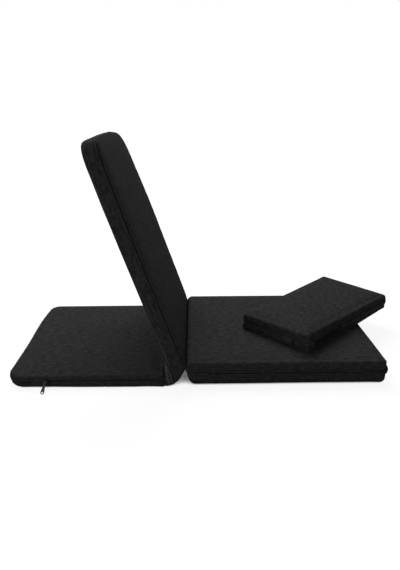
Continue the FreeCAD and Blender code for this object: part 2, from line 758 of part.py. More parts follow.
def notch_outline(sketch):
    """One notch, turned to where the pawl meets it with the backrest one pitch forward of rest."""
    turn = "(90 - dims.back_angle - dims.tooth_pitch)"
    above = "(dims.tooth_tip + dims.notch_over)"
    corners = [
        ("-dims.notch_face", "dims.tooth_root"),
        ("dims.notch_ramp", above),
        ("-dims.notch_face", above),
    ]
    band(
        sketch,
        [
            (
                f"({x}) * cos({turn}) - ({y}) * sin({turn})",
                f"({x}) * sin({turn}) + ({y}) * cos({turn})",
                None,
            )
            for x, y in corners
        ],
    )


def cheek(name, at):
    body = plate(name, CHEEK, "dims.cheek_thick", at)
    holes = [
        ("0", "0", "dims.pivot + dims.seat_fit"),
        ("dims.pawl_ahead", "dims.pawl_up", "dims.pawl_pin + dims.seat_fit"),
    ]
    holes += [(x, z, "dims.rivet + dims.seat_fit") for x, z in cheek_rivets_at()]
    drill(body, at, "dims.cheek_thick", holes, "holes")
    return lean(keep(body, name))


def headed_pin(name, x, z, at, shank, grip, head, head_thick):
    """A rivet across the hinge: a shank through the grip and a head on each end."""
    body = new_body(name)
    shaft = sketch_on(body, "XZ_Plane", "shank", f"-({at})")
    circle(shaft, x, z, shank)
    pad(body, shaft, grip, "shank_pad", symmetric=True)
    for end, sign in (("near", "-"), ("far", "")):
        cap = sketch_on(
            body, "XZ_Plane", f"{end}_head", f"-({at} + ({sign}({grip} + {head_thick}) / 2))"
        )
        circle(cap, x, z, head)
        pad(body, cap, head_thick, f"{end}_head_pad", symmetric=True)
    return body


def pawl(side, at):
    """Catch between the cheeks: an eye on its pin and a nose in the leaf's notch."""
    room = "dims.notch_room"
    rise = "(dims.tooth_tip + dims.notch_over - dims.tooth_root)"
    slope = f"(dims.notch_ramp + dims.notch_face) / {rise}"
    nose_x = f"(-dims.notch_face + {room})"
    nose_z = f"(dims.tooth_root + 2 * {room})"
    clear_z = "(dims.tooth_tip + dims.pawl_shoulder)"
    clear_x = f"({nose_x} + ({clear_z} - {nose_z}) * {slope} - {room} / 2)"
    name = f"pawl_{side}"
    rounds = [
        (nose_x, nose_z, None),
        (clear_x, clear_z, None),
        ("dims.pawl_ahead", "dims.pawl_up", "dims.pawl_hub"),
        (nose_x, "(dims.tooth_tip + dims.pawl_back)", None),
    ]
    body = plate(name, rounds, "dims.leaf_thick", at)
    bore = [("dims.pawl_ahead", "dims.pawl_up", "dims.pawl_pin + dims.pivot_fit")]
    drill(body, at, "dims.leaf_thick", bore, "bore")
    return lean(keep(body, name))


def pawl_spring(side, at):
    """Leaf spring: held under the spacer, bent over the pawl's back."""
    name = f"pawl_spring_{side}"
    body = new_body(name)
    half = "dims.spring_half"
    foot_z = f"(dims.cheek_tail - dims.rivet_pitch - dims.pawl_boss - 2 * {half})"
    knee = ("(dims.back_rail_ahead - dims.spring_kick)", f"({foot_z} - dims.spring_run)")
    tip_z = f"(dims.tooth_tip + dims.pawl_back + {half} + dims.spring_gap)"
    for i, (a, b) in enumerate(
        [(("dims.back_rail_ahead", foot_z), knee), (knee, ("dims.spring_tip", tip_z))]
    ):
        run = sketch_on(body, "XZ_Plane", f"run_{i}", f"-({at})")
        band(run, [(*a, half), (*b, half)])
        pad(body, run, "dims.spring_wide", f"run_{i}_pad", symmetric=True)
    return lean(keep(body, name))


def make_hinges():
    leaf_rivets, cheek_rivets = [], []
    for side, at in PLACES:
        toothed_leaf(side, at)
        inward = "" if side == "left" else "-"
        off = "(dims.leaf_thick / 2 + dims.plate_gap + dims.cheek_thick / 2)"
        cheek(f"hinge_cheek_inner_{side}", f"({at} + {inward}{off})")
        cheek(f"hinge_cheek_outer_{side}", f"({at} - ({inward}{off}))")
        room = "(dims.leaf_thick + 2 * dims.plate_gap)"
        spacer = plate(
            f"hinge_spacer_{side}",
            [
                ("dims.back_rail_ahead", "(dims.cheek_tail - dims.rivet_pitch)", "dims.pawl_boss"),
                ("dims.back_rail_ahead", "dims.cheek_tail", "dims.pawl_boss"),
            ],
            room,
            at,
        )
        holes = [(x, z, "dims.rivet + dims.seat_fit") for x, z in cheek_rivets_at()]
        drill(spacer, at, room, holes, "holes")
        lean(keep(spacer, spacer.Name))
        stack = f"(2 * {STACK_HALF})"
        pivot = headed_pin(
            f"hinge_pivot_{side}", "0", "0", at, "dims.pivot", stack,
            "dims.pivot_head", "dims.head_thick",
        )
        lean(keep(pivot, pivot.Name))
        pin = headed_pin(
            f"pawl_pin_{side}", "dims.pawl_ahead", "dims.pawl_up", at, "dims.pawl_pin", stack,
            "dims.pin_head", "dims.pin_head_thick",
        )
        lean(keep(pin, pin.Name))
        pawl(side, at)
        pawl_spring(side, at)
        for i, (x, z) in enumerate(leaf_rivets_at()):
            leaf_rivets.append(
                headed_pin(
                    f"leaf_rivet_{side}_{i}", x, z, at, "dims.rivet", "dims.tube",
                    "dims.rivet_head", "dims.rivet_head_thick",
                )
            )
        for i, (x, z) in enumerate(cheek_rivets_at()):
            cheek_rivets.append(
                headed_pin(
                    f"cheek_rivet_{side}_{i}", x, z, at, "dims.rivet", "dims.tube",
                    "dims.rivet_head", "dims.rivet_head_thick",
                )
            )
    on_hinge(keep(group("base_leaf_rivets", leaf_rivets), "base_leaf_rivets"))
    lean(keep(group("cheek_rivets", cheek_rivets), "cheek_rivets"))


def rivet_holes(body, at_list):
    """Rivet holes through both legs of a bent tube."""
    holes = sketch_on(body, "XZ_Plane", "rivet_holes")
    for x, z in at_list:
        circle(holes, x, z, "dims.rivet + dims.seat_fit")
    pocket(body, holes, "dims.width", "rivet_cut")
    return body


# ---------------------------------------------------------------- pockets in the foam and the covers


STACK_ROOM = f"({STACK_HALF} + dims.head_thick + dims.pocket_gap)"
RIVET_ROOM = "(dims.tube / 2 + dims.rivet_head_thick + dims.pocket_gap)"


def hinge_rooms(tag, rounds, half):
    """Room for something of both hinges: an outline, to both sides of each hinge's middle plane."""
    return [plate(f"{tag}_{side}", rounds, f"(2 * {half})", at) for side, at in PLACES]


def sweep_room():
    """Where the leaf's neck sweeps through the backrest's rear lower edge."""
    beyond = "(2 * dims.leaf_knee + 3 * dims.leaf_neck)"
    wall, foot = "(-dims.sweep_wall)", "(-dims.sweep_foot)"
    slant = f"(-dims.sweep_wall - ({beyond} - dims.sweep_foot) / 3)"
    return [
        (wall, foot, None),
        (wall, "dims.back_rail_start", None),
        (f"(-{beyond})", "dims.back_rail_start", None),
        (f"(-{beyond})", f"(-{beyond})", None),
        (slant, f"(-{beyond})", None),
    ]


GROWN_CHEEK = [(x, z, f"({r} + dims.pocket_gap)") for x, z, r in CHEEK]


# ---------------------------------------------------------------- zips


def wrap_strip(name, draw_outline, height, high, thick, keep_box):
    """A strip that follows a slab's plan outline at a height, kept inside a box."""
    layers = []
    for grow, tag in ((thick, "grown"), ("0", "plain")):
        body = new_body(f"{name}_{tag}")
        sketch = sketch_on(body, "XY_Plane", "plan", f"({height} - {high} / 2)")
        draw_outline(sketch, grow)
        pad(body, sketch, high)
        layers.append(body)
    shell = combine("Cut", f"{name}_shell", layers[0], [layers[1]])
    body = new_body(f"{name}_kept")
    sketch = sketch_on(body, "XY_Plane", "box", f"({height} - {high})")
    band(sketch, keep_box)
    pad(body, sketch, f"(2 * {high})")
    return combine("Common", name, shell, [body])


def zip_strip(name, draw_outline, height, keep_box):
    """Zip tape with its coil along the middle."""
    tape = wrap_strip(
        f"{name}_tape_strip", draw_outline, height, "dims.tape_wide", "dims.tape_thick", keep_box
    )
    coil = wrap_strip(
        f"{name}_coil_strip", draw_outline, height, "dims.coil_wide", "dims.coil_high", keep_box
    )
    return join(name, [tape, coil])


def base_plan(sketch, grow):
    corner, grown = "dims.base_corner", f"(dims.base_corner + {grow})"
    rear = "(-dims.base_length / 2 + dims.base_corner)"
    band(
        sketch,
        [
            (rear, f"-({SIDE_Y} - {corner})", grown),
            (NOSE_X, f"-({SIDE_Y} + {grow})", None),
            (NOSE_X, f"({SIDE_Y} + {grow})", None),
            (rear, f"({SIDE_Y} - {corner})", grown),
        ],
    )


def seat_plan(sketch, grow):
    corner = "dims.seat_corner"
    front, side = SEAT_FRONT, SIDE_Y
    band(
        sketch,
        [
            (SEAT_X, f"-({side} + {grow})", None),
            (f"({front} - {corner})", f"-({side} - {corner})", f"({corner} + {grow})"),
            (f"({front} - {corner})", f"({side} - {corner})", f"({corner} + {grow})"),
            (SEAT_X, f"({side} + {grow})", None),
        ],
    )


def cushion_plan(sketch, grow):
    corner, grown = "dims.cushion_corner", f"(dims.cushion_corner + {grow})"
    half, far = "(dims.cushion_wide / 2)", "(dims.cushion_long - dims.cushion_corner)"
    band(
        sketch,
        [
            (corner, f"-({half} - {corner})", grown),
            (far, f"-({half} - {corner})", grown),
            (far, f"({half} - {corner})", grown),
            (corner, f"({half} - {corner})", grown),
        ],
    )


def corner_box(rear, front, side, end):
    """Corners, seen from above, of a box that keeps a zip along the near side from rear, round the
    corner and across the front up to end."""
    out = "dims.tape_wide"
    corners = [
        (rear, f"(-{side} - {out})"),
        (f"({front} + {out})", f"(-{side} - {out})"),
        (f"({front} + {out})", end),
        (f"({front} - {out})", end),
        (f"({front} - {out})", f"(-{side} + {out})"),
        (rear, f"(-{side} + {out})"),
    ]
    return [(x, y, None) for x, y in corners]


def upright_zip(name, low, high, at, side):
    """A straight zip up a flat near side face: tape and coil, standing out towards -Y."""
    body = new_body(name)
    for tag, wide, thick in (
        ("tape", "dims.tape_wide", "dims.tape_thick"),
        ("coil", "dims.coil_wide", "dims.coil_high"),
    ):
        sketch = sketch_on(body, "XZ_Plane", tag, side)
        band(sketch, box(f"({at} - {wide} / 2)", f"({at} + {wide} / 2)", low, high))
        pad(body, sketch, thick, f"{tag}_pad")
    return body


def slider(name):
    """Zip slider, drawn with the zip along X and its outside towards -Y, about the coil's middle line
    at the cloth: a plate over the coil, a flange on each side and a bridge for the pull."""
    body = new_body(name)
    half_coil = "(dims.coil_wide / 2 + dims.slider_gap)"
    outer = f"({half_coil} + dims.slider_wall)"
    lid = "(dims.coil_high + dims.slider_gap)"
    foot = "(dims.tape_thick + dims.slider_gap)"
    section = sketch_on(body, "YZ_Plane", "section")
    # the U in the plane across the zip: y outwards is negative
    band(
        section,
        [
            (f"-({lid} + dims.slider_wall)", f"-{outer}", None),
            (f"-{foot}", f"-{outer}", None),
            (f"-{foot}", f"-{half_coil}", None),
            (f"-{lid}", f"-{half_coil}", None),
            (f"-{lid}", half_coil, None),
            (f"-{foot}", half_coil, None),
            (f"-{foot}", outer, None),
            (f"-({lid} + dims.slider_wall)", outer, None),
        ],
    )
    pad(body, section, "dims.slider_long", "body_pad", symmetric=True)
    # tapered nose: both front corners of the plan are cut
    waist = sketch_on(body, "XZ_Plane", "waist")
    tip, wall = "(dims.slider_long / 2)", "dims.slider_wall"
    for sign in ("", "-"):
        nose = f"{sign}({half_coil} + dims.slider_tip)"
        corners = [
            (f"({tip} - dims.slider_taper)", f"{sign}{outer}"),
            (tip, nose),
            (f"({tip} + {wall})", nose),
            (f"({tip} + {wall})", f"{sign}({outer} + {wall})"),
            (f"({tip} - dims.slider_taper)", f"{sign}({outer} + {wall})"),
        ]
        band(waist, [(x, y, None) for x, y in corners])
    pocket(body, waist, f"(4 * ({lid} + {wall}))", "waist_cut")
    bar = sketch_on(body, "YZ_Plane", "bar")
    circle(bar, f"-{BRIDGE_OUT}", "0", "dims.bridge")
    leg_out = "(dims.pull_eye_wide / 2 + dims.bridge_gap + dims.bridge_leg / 2)"
    pad(body, bar, f"(2 * {leg_out} + dims.bridge_leg)", "bar_pad", symmetric=True)
    for tag, sign in (("rear", "-"), ("front", "")):
        leg = sketch_on(body, "YZ_Plane", f"leg_{tag}", f"{sign}{leg_out}")
        band(
            leg,
            [
                (f"-{BRIDGE_OUT}", "0", "dims.bridge"),
                (f"-({lid} + {wall} / 2)", "0", "dims.bridge"),
            ],
        )
        pad(body, leg, "dims.bridge_leg", f"leg_{tag}_pad", symmetric=True)
    return body


def pull(name, length, role, askew="0"):
    """Zip pull, drawn about its pivot: an eye along X and a flat tab with a diamond-shaped ring end.
    The tab lies level towards -Y on the XY plane, and hangs towards -Z on the XZ plane."""
    body = new_body(name)
    ring = f"({length} - dims.pull_half)"

    def spot(along, across):
        """A place along the tab and across it, in the sketch's axes."""
        return (
            f"(({across}) * cos({askew}) - ({along}) * sin({askew}))",
            f"(-({across}) * sin({askew}) - ({along}) * cos({askew}))",
        )

    def diamond(inset, corner):
        """The ring end's outline, inset all round, with rounded corners."""
        out = f"(dims.pull_half - {inset} - {corner})"
        return [
            (*spot(f"({ring} + {out})", "0"), corner),
            (*spot(ring, out), corner),
            (*spot(f"({ring} - {out})", "0"), corner),
            (*spot(ring, f"-{out}"), corner),
        ]

    outline = diamond("0", "dims.pull_soft")
    neck = "(dims.pull_eye + dims.pull_root - dims.pull_thick)"
    outline[2] = (*spot(neck, "0"), "dims.pull_root")
    tab = sketch_on(body, role, "tab")
    band(tab, outline)
    pad(body, tab, "dims.pull_thick", "tab_pad", symmetric=True)
    eye = sketch_on(body, "YZ_Plane", "eye")
    circle(eye, "0", "0", "dims.pull_eye")
    pad(body, eye, "dims.pull_eye_wide", "eye_pad", symmetric=True)
    bore = sketch_on(body, "YZ_Plane", "bore")
    circle(bore, "0", "0", "dims.bridge + dims.pivot_fit")
    pocket(body, bore, f"(2 * {length})", "bore_cut")
    hole = sketch_on(body, role, "hole")
    band(hole, diamond("dims.pull_rim", "dims.pull_hole_soft"))
    pocket(body, hole, "(2 * dims.pull_thick)", "hole_cut")
    return body


def turned(obj, axis, expression):
    obj.Placement = FreeCAD.Placement(V(0, 0, 0), FreeCAD.Rotation(axis, 1))
    obj.setExpression("Placement.Rotation.Angle", expression)
    return obj


# ---------------------------------------------------------------- the chair


def make_base():
    outer, inner, filling = soft_pair("base")
    slots = hinge_rooms("base_hinge_slot", leaf_room(), STACK_ROOM)
    for room in slots:
        on_hinge(room)
    cover = combine("Cut", "base_cover", outer, [inner] + slots)
    keep(cover, "base_cover")
    rails = base_bent("base_frame", BASE_TUBE_START, ring)
    slot = box(
        f"({HINGE_X} - {LEAF_END} - dims.slot_end)", f"({BASE_TUBE_START} + dims.slot_end)",
        "(dims.base_rail_height - dims.tube)", "(dims.base_rail_height + dims.tube)",
    )
    plate_slot(rails, slot, "dims.leaf_thick")
    rivets_at = [(f"({HINGE_X} + {x})", f"(dims.hinge_height + {z})") for x, z in leaf_rivets_at()]
    rivet_holes(rails, rivets_at)
    keep(rails, "base_frame")
    keep(cross_piece("base_cross_tube", *BASE_CROSS, ring), "base_cross_tube")
    channel = base_bent("base_channel", f"({NOSE_X} + dims.rim_round)", square)
    cross = cross_piece("base_cross_channel", *BASE_CROSS, square)
    rooms = hinge_rooms("base_foam_slot", leaf_room(), STACK_ROOM)
    rivets = hinge_rooms("base_rivet_room", rivet_room(), RIVET_ROOM)
    for room in rooms + rivets:
        on_hinge(room)
    foam = combine("Cut", "base_foam", filling, [channel, cross] + rooms + rivets)
    keep(foam, "base_foam")


def leaf_room():
    """Outline of the room for a leaf's neck and tail in the base."""
    gap = "dims.pocket_gap"
    grown = f"(dims.tail_half + {gap})"
    return [("-dims.leaf_tail", RAIL_DROP, grown), ("dims.leaf_hub", RAIL_DROP, grown)]


def rivet_room():
    end = f"(-{LEAF_END} + dims.rivet_inset)"
    gap = "(dims.rivet_head + dims.channel_gap)"
    return [(end, RAIL_DROP, gap), (f"({end} + dims.rivet_pitch)", RAIL_DROP, gap)]


def make_backrest():
    outer, inner, filling = soft_pair("backrest")
    sweeps = hinge_rooms("backrest_sweep", sweep_room(), STACK_ROOM)
    cover = combine("Cut", "backrest_cover", outer, [inner] + sweeps)
    lean(keep(cover, "backrest_cover"))
    rails = back_bent("backrest_frame", "dims.back_rail_start", ring)
    ahead = "dims.back_rail_ahead"
    slot = box(
        f"({ahead} - dims.tube)", f"({ahead} + dims.tube)",
        "(dims.back_rail_start - dims.slot_end)", f"({TAIL_TOP} + dims.slot_end)",
    )
    plate_slot(rails, slot, f"(2 * {STACK_HALF})")
    rivet_holes(rails, cheek_rivets_at())
    lean(keep(rails, "backrest_frame"))
    lean(keep(cross_piece("backrest_cross_tube", *BACK_CROSS, ring), "backrest_cross_tube"))
    straps = webbing("backrest_webbing")
    lean(keep(straps, "backrest_webbing"))
    run_out = "(dims.back_rail_start - dims.channel_run)"
    channel = back_bent("backrest_channel", run_out, square)
    cross_channel = cross_piece("backrest_cross_channel", *BACK_CROSS, square)
    tunnels = [web_tunnel(i) for i in range(int(number("dims.web_count")))]
    rooms = hinge_rooms("backrest_hinge_room", GROWN_CHEEK, STACK_ROOM)
    sweeps = hinge_rooms("backrest_foam_sweep", sweep_room(), STACK_ROOM)
    rivets = hinge_rooms("backrest_rivet_room", cheek_rivet_room(), RIVET_ROOM)
    foam = combine(
        "Cut", "backrest_foam", filling,
        [channel, cross_channel] + tunnels + rooms + sweeps + rivets,
    )
    lean(keep(foam, "backrest_foam"))
    closing = upright_zip(
        "backrest_zip_tape", "dims.back_zip_low", "(dims.back_height - dims.back_zip_margin)",
        "dims.back_zip_ahead", SIDE_Y,
    )
    lean(keep(closing, "backrest_zip_tape"))


def cheek_rivet_room():
    gap = "(dims.rivet_head + dims.channel_gap)"
    (x, high), (_, low) = cheek_rivets_at()
    return [(x, low, gap), (x, high, gap)]


def web_level(i):
    return f"(dims.web_first + {i} * dims.web_pitch)"


def web_rounds(radius):
    ahead = "dims.back_rail_ahead"
    return [(ahead, at, radius) for _, at in PLACES]


def webbing(name):
    """Straps of webbing looped round the two rails."""
    inner = f"({TUBE_R} + dims.web_gap)"
    straps = []
    for i in range(int(number("dims.web_count"))):
        body = new_body(f"{name}_{i}")
        ring = sketch_on(body, "XY_Plane", "ring", web_level(i))
        band(ring, web_rounds(f"({inner} + dims.web_thick)"))
        band(ring, web_rounds(inner))
        pad(body, ring, "dims.web_wide", symmetric=True)
        straps.append(body)
    return group(name, straps)


def web_tunnel(i):
    body = new_body(f"web_tunnel_{i}")
    ring = sketch_on(body, "XY_Plane", "ring", web_level(i))
    band(ring, web_rounds(f"({TUBE_R} + dims.web_gap + dims.web_thick + dims.channel_gap)"))
    pad(body, ring, "(dims.web_wide + 2 * dims.channel_gap)", symmetric=True)
    return body


def make_base_zip():
    """The zip runs round the rear end of the base, from side to side. Its slider is closed against
    the stitch that ends it on the near side."""
    stitch = "(-dims.base_length / 2 + dims.base_zip_reach)"
    outside = f"({SIDE_Y} + dims.tape_wide)"
    kept = box("-dims.base_length", stitch, f"-{outside}", outside)
    keep(zip_strip("base_zip_tape", base_plan, "dims.base_zip_height", kept), "base_zip_tape")
    at = f"({stitch} - dims.base_slider_at)"
    runner = keep(slider("base_zip_slider"), "base_zip_slider")
    place(runner, at, f"-{SIDE_Y}", "dims.base_zip_height")
    tab = pull("base_zip_puller", "dims.base_pull", "XY_Plane", "dims.base_pull_askew")
    turned(keep(tab, "base_zip_puller"), V(1, 0, 0), "dims.base_pull_droop")
    place(tab, at, f"-({SIDE_Y} + {BRIDGE_OUT})", "dims.base_zip_height")


def make_seat():
    outer, inner, filling = soft_pair("seat")
    keep(combine("Cut", "seat_cover", outer, [inner]), "seat_cover")
    keep(filling, "seat_foam")
    end = f"(-{SIDE_Y} + dims.seat_zip_round)"
    kept = corner_box(f"({SEAT_X} + dims.seat_zip_rear)", SEAT_FRONT, SIDE_Y, end)
    keep(zip_strip("seat_zip_tape", seat_plan, "dims.seat_zip_height", kept), "seat_zip_tape")
    y = f"({end} - dims.slider_long)"
    runner = turned(keep(slider("seat_zip_slider"), "seat_zip_slider"), V(0, 0, 1), "90")
    place(runner, SEAT_FRONT, y, "dims.seat_zip_height")
    tab = keep(pull("seat_zip_puller", "dims.small_pull", "XZ_Plane"), "seat_zip_puller")
    turned(tab, V(0, 0, 1), "90")
    place(tab, f"({SEAT_FRONT} + {BRIDGE_OUT})", y, "dims.seat_zip_height")


def on_cushion(obj, x="0", y="0", z="0", turn="0"):
    """Place something given in the cushion's frame: X along its long side from the near corner, Y
    across it from its middle, Z up from its underside."""
    spin = "dims.cushion_turn"
    corner_x, corner_y = f"({SEAT_X} + dims.cushion_ahead)", "(-dims.cushion_near)"
    across = f"(({y}) + dims.cushion_wide / 2)"
    turned(obj, V(0, 0, 1), f"{spin} + ({turn})")
    return place(
        obj,
        f"({corner_x} + ({x}) * cos({spin}) - {across} * sin({spin}))",
        f"({corner_y} + ({x}) * sin({spin}) + {across} * cos({spin}))",
        f"(dims.seat_thick + dims.cushion_gap + ({z}))",
    )


def make_cushion():
    outer, inner, filling = soft_pair("cushion")
    on_cushion(keep(combine("Cut", "cushion_cover", outer, [inner]), "cushion_cover"))
    on_cushion(keep(filling, "cushion_fill"))
    half, high = "(dims.cushion_wide / 2)", "dims.cushion_zip_height"
    end = f"(-{half} + dims.cushion_zip_round)"
    kept = corner_box("dims.cushion_zip_start", "dims.cushion_long", half, end)
    on_cushion(keep(zip_strip("cushion_zip_tape", cushion_plan, high, kept), "cushion_zip_tape"))
    y = f"({end} - dims.slider_long)"
    runner = keep(slider("cushion_zip_slider"), "cushion_zip_slider")
    on_cushion(runner, "dims.cushion_long", y, high, "90")
    tab = keep(pull("cushion_zip_puller", "dims.small_pull", "XZ_Plane"), "cushion_zip_puller")
    on_cushion(tab, f"(dims.cushion_long + {BRIDGE_OUT})", y, high, "90")
    on_cushion(keep(make_tab(), "cushion_tab"))


def make_tab():
    """A blank folded tape in the cushion's short near side: two leaves that hang from the seam."""
    body = new_body("cushion_tab")
    seam = "(dims.cushion_zip_height + dims.tab_drop / 2)"
    half = "(dims.tab_thick / 2)"
    out, fold = f"({half} + dims.fold_gap)", "(dims.tab_loop + dims.tab_thick / 2)"
    low = f"({seam} - dims.tab_drop)"
    middle = "(dims.cushion_wide / 2 - dims.tab_at)"
    path = [
        (f"-{out}", seam),
        (f"-{out}", low),
        (f"-({out} + {fold})", f"({low} - {fold})"),
        (f"-({out} + 2 * {fold})", low),
        (f"-({out} + {fold})", seam),
    ]
    return strip(body, path, half, "dims.tab_wide", "leaf", f"-{middle}")


def strip(body, path, half, wide, tag, at="0"):
    """A flat strip of one thickness along a path of straight runs, drawn from the side."""
    for i, (a, b) in enumerate(zip(path, path[1:])):
        run = sketch_on(body, "XZ_Plane", f"{tag}_{i}", f"-({at})")
        band(run, [(*a, half), (*b, half)])
        pad(body, run, wide, f"{tag}_{i}_pad", symmetric=True)
    return body


def round_point(centre, radius, angle):
    """A point on a circle about a centre given by two expressions."""
    x, y = centre
    return (f"({x} + {radius} * cos({angle}))", f"({y} + {radius} * sin({angle}))")


def fold_paths():
    """Middle lines, from the side about the hinge axis, of the fold's cloth above and below."""
    half, gap = "(dims.cloth / 2)", "dims.fold_gap"
    nose = (
        "(-dims.hinge_reach - dims.nose_round)",
        "(dims.base_thick - dims.nose_round - dims.hinge_height)",
    )
    over = f"(dims.nose_round + {half} + {gap} + dims.fold_slack)"
    above = [round_point(nose, over, angle) for angle in (90, 72, 54)]
    valley = "(dims.fold_height - dims.hinge_height)"
    above.append(("(-dims.hinge_reach - dims.fold_valley)", valley))
    # round the hinge discs, then up against the backrest's rear face
    clear = f"(dims.cheek_hub + {half} + {gap} + dims.fold_slack)"
    above += [round_point(("0", "0"), clear, angle) for angle in (203, 185, 168)]
    up = "dims.fold_reach"
    flare = f"(dims.flare_start - {up})^2 / (2 * dims.heel_flare)"
    behind = f"(dims.back_rear + {flare} + {half} + {gap} + dims.fold_slack)"
    above.append(
        (
            f"(-{behind} * sin(dims.back_angle) - {up} * cos(dims.back_angle))",
            f"({up} * sin(dims.back_angle) - {behind} * cos(dims.back_angle))",
        )
    )
    # below, the cloth carries on the round of the heel down to the nose
    heel, rear, front = (HEEL_BEHIND, HEEL_ABOVE), "dims.fold_under_rear", "dims.fold_under_front"
    turns = [f"(-{rear} + ({rear} - {front}) * {i} / 3)" for i in range(4)]
    below = [round_point(heel, f"(dims.heel_radius - {half})", angle) for angle in turns]
    return nose, above, below


def make_fold():
    """The cover's cloth across the fold: over the base's nose and up the backrest's rear, under the
    hinges, and a gusset at each side that closes the space between."""
    nose, above, below = fold_paths()
    wide = f"(2 * ({SIDE_Y} - dims.fold_margin))"
    sheets = new_body("cover_fold_sheets")
    strip(sheets, above, "(dims.cloth / 2)", wide, "above")
    strip(sheets, below, "(dims.cloth / 2)", wide, "below")
    inside_back = ("(-dims.fold_reach * cos(dims.back_angle))", "(dims.fold_reach * sin(dims.back_angle))")
    outline = [nose, *below, ("0", "0"), inside_back, *above[:1:-1]]
    pieces = [sheets]
    for side, sign in (("left", "-"), ("right", "")):
        gusset = new_body(f"cover_fold_gusset_{side}")
        at = f"{sign}({SIDE_Y} - dims.fold_margin - dims.cloth / 2)"
        face = sketch_on(gusset, "XZ_Plane", "outline", f"-({at})")
        band(face, [(x, y, None) for x, y in outline])
        pad(gusset, face, "dims.cloth", symmetric=True)
        pieces.append(gusset)
    for piece in pieces:
        on_hinge(piece)
    base = straight_block("fold_room_base", draw_base)
    back = lean(straight_block("fold_room_back", draw_back))
    cloth = join("cover_fold_cloth", pieces)
    keep(combine("Cut", "cover_fold", cloth, [base, back]), "cover_fold")


def straight_block(name, draw):
    """A slab's side outline, grown by the fold's clearance, across more than the chair's width."""
    body = new_body(name)
    outline = sketch_on(body, "XZ_Plane", "outline")
    draw(outline, "(-dims.fold_gap)")
    pad(body, outline, "(2 * dims.width)", symmetric=True)
    return body


def write_parts():
    doc.recompute()
    for obj in doc.Objects:
        bad = [word for word in obj.State if word in ("Invalid", "Error")]
        if bad:
            raise RuntimeError(f"{obj.Name}: {obj.State}")
    os.makedirs("parts", exist_ok=True)
    for obj in parts:
        shape = obj.Shape
        if shape.isNull() or not shape.isValid() or not shape.Solids:
            raise RuntimeError(f"{obj.Label}: its shape is not a valid solid")
        shape.exportStep(f"parts/{obj.Label}.step")
        print(f"{obj.Label}: {len(shape.Solids)} solid(s), {shape.Volume / 1000:.2f} cm3")


make_base()
make_backrest()
make_base_zip()
make_fold()
make_seat()
make_cushion()
make_hinges()
write_parts()
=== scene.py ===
"""Looks of the folding floor chair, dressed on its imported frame."""

import json
import logging
import math
from dataclasses import dataclass
from enum import Enum
from typing import Any, Iterable, NamedTuple, Optional, Sequence

import bmesh
import bpy
import numpy as np
from bpy.types import Material, NodeTree, Object
from mathutils import Matrix, Vector, noise


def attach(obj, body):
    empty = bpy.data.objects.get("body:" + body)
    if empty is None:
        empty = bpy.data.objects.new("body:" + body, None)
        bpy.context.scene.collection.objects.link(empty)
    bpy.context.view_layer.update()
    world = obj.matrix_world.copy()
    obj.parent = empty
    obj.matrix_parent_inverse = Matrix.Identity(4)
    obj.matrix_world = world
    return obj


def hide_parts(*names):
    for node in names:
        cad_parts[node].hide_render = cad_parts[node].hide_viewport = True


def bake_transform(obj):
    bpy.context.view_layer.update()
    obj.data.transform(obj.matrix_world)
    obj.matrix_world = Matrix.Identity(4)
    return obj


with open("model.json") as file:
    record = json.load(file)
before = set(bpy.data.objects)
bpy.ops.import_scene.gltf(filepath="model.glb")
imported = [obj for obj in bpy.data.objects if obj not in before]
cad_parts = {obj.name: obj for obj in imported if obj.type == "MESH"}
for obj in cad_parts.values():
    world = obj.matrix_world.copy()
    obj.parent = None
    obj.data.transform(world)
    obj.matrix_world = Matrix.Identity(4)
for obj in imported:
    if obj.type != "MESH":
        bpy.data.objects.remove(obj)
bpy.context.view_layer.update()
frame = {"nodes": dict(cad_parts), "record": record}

log = logging.getLogger("floor_chair")

# Lengths are in metres. The seam attribute draws a painted highlight line at its highlight value, painted
# shade in the seam's groove at 0, and nothing at AWAY. HINGE and HEEL are places along X and Z.
MM = 0.001
UV_NAME = "cloth"
SEAM_NAME = "seam"
STITCH_NAME = "stitch"
# Seam attribute value that draws a painted highlight line.
PRESSED_HIGHLIGHT = 2.1 * MM
AWAY = 50 * MM
PANEL_WIDTH = 460 * MM
HINGE = (216.5 * MM, 38 * MM)
BACK_LEAN = math.radians(71)
BEHIND_HINGE = 5.4 * MM
CUSHION_CORNER = (553.055 * MM, -193 * MM, 62.2 * MM)
CUSHION_TURN = math.radians(45)
CUSHION_WIDTH = 218 * MM
HEEL = (194.455 * MM, 51.03 * MM)
HEEL_ROUND = 50 * MM
TINY = 0.01 * MM
Triple = tuple[float, float, float]
Colour = Triple
Point = tuple[float, float]
Array = np.ndarray
WHITE: Colour = (1, 1, 1)


# -------- shader graphs


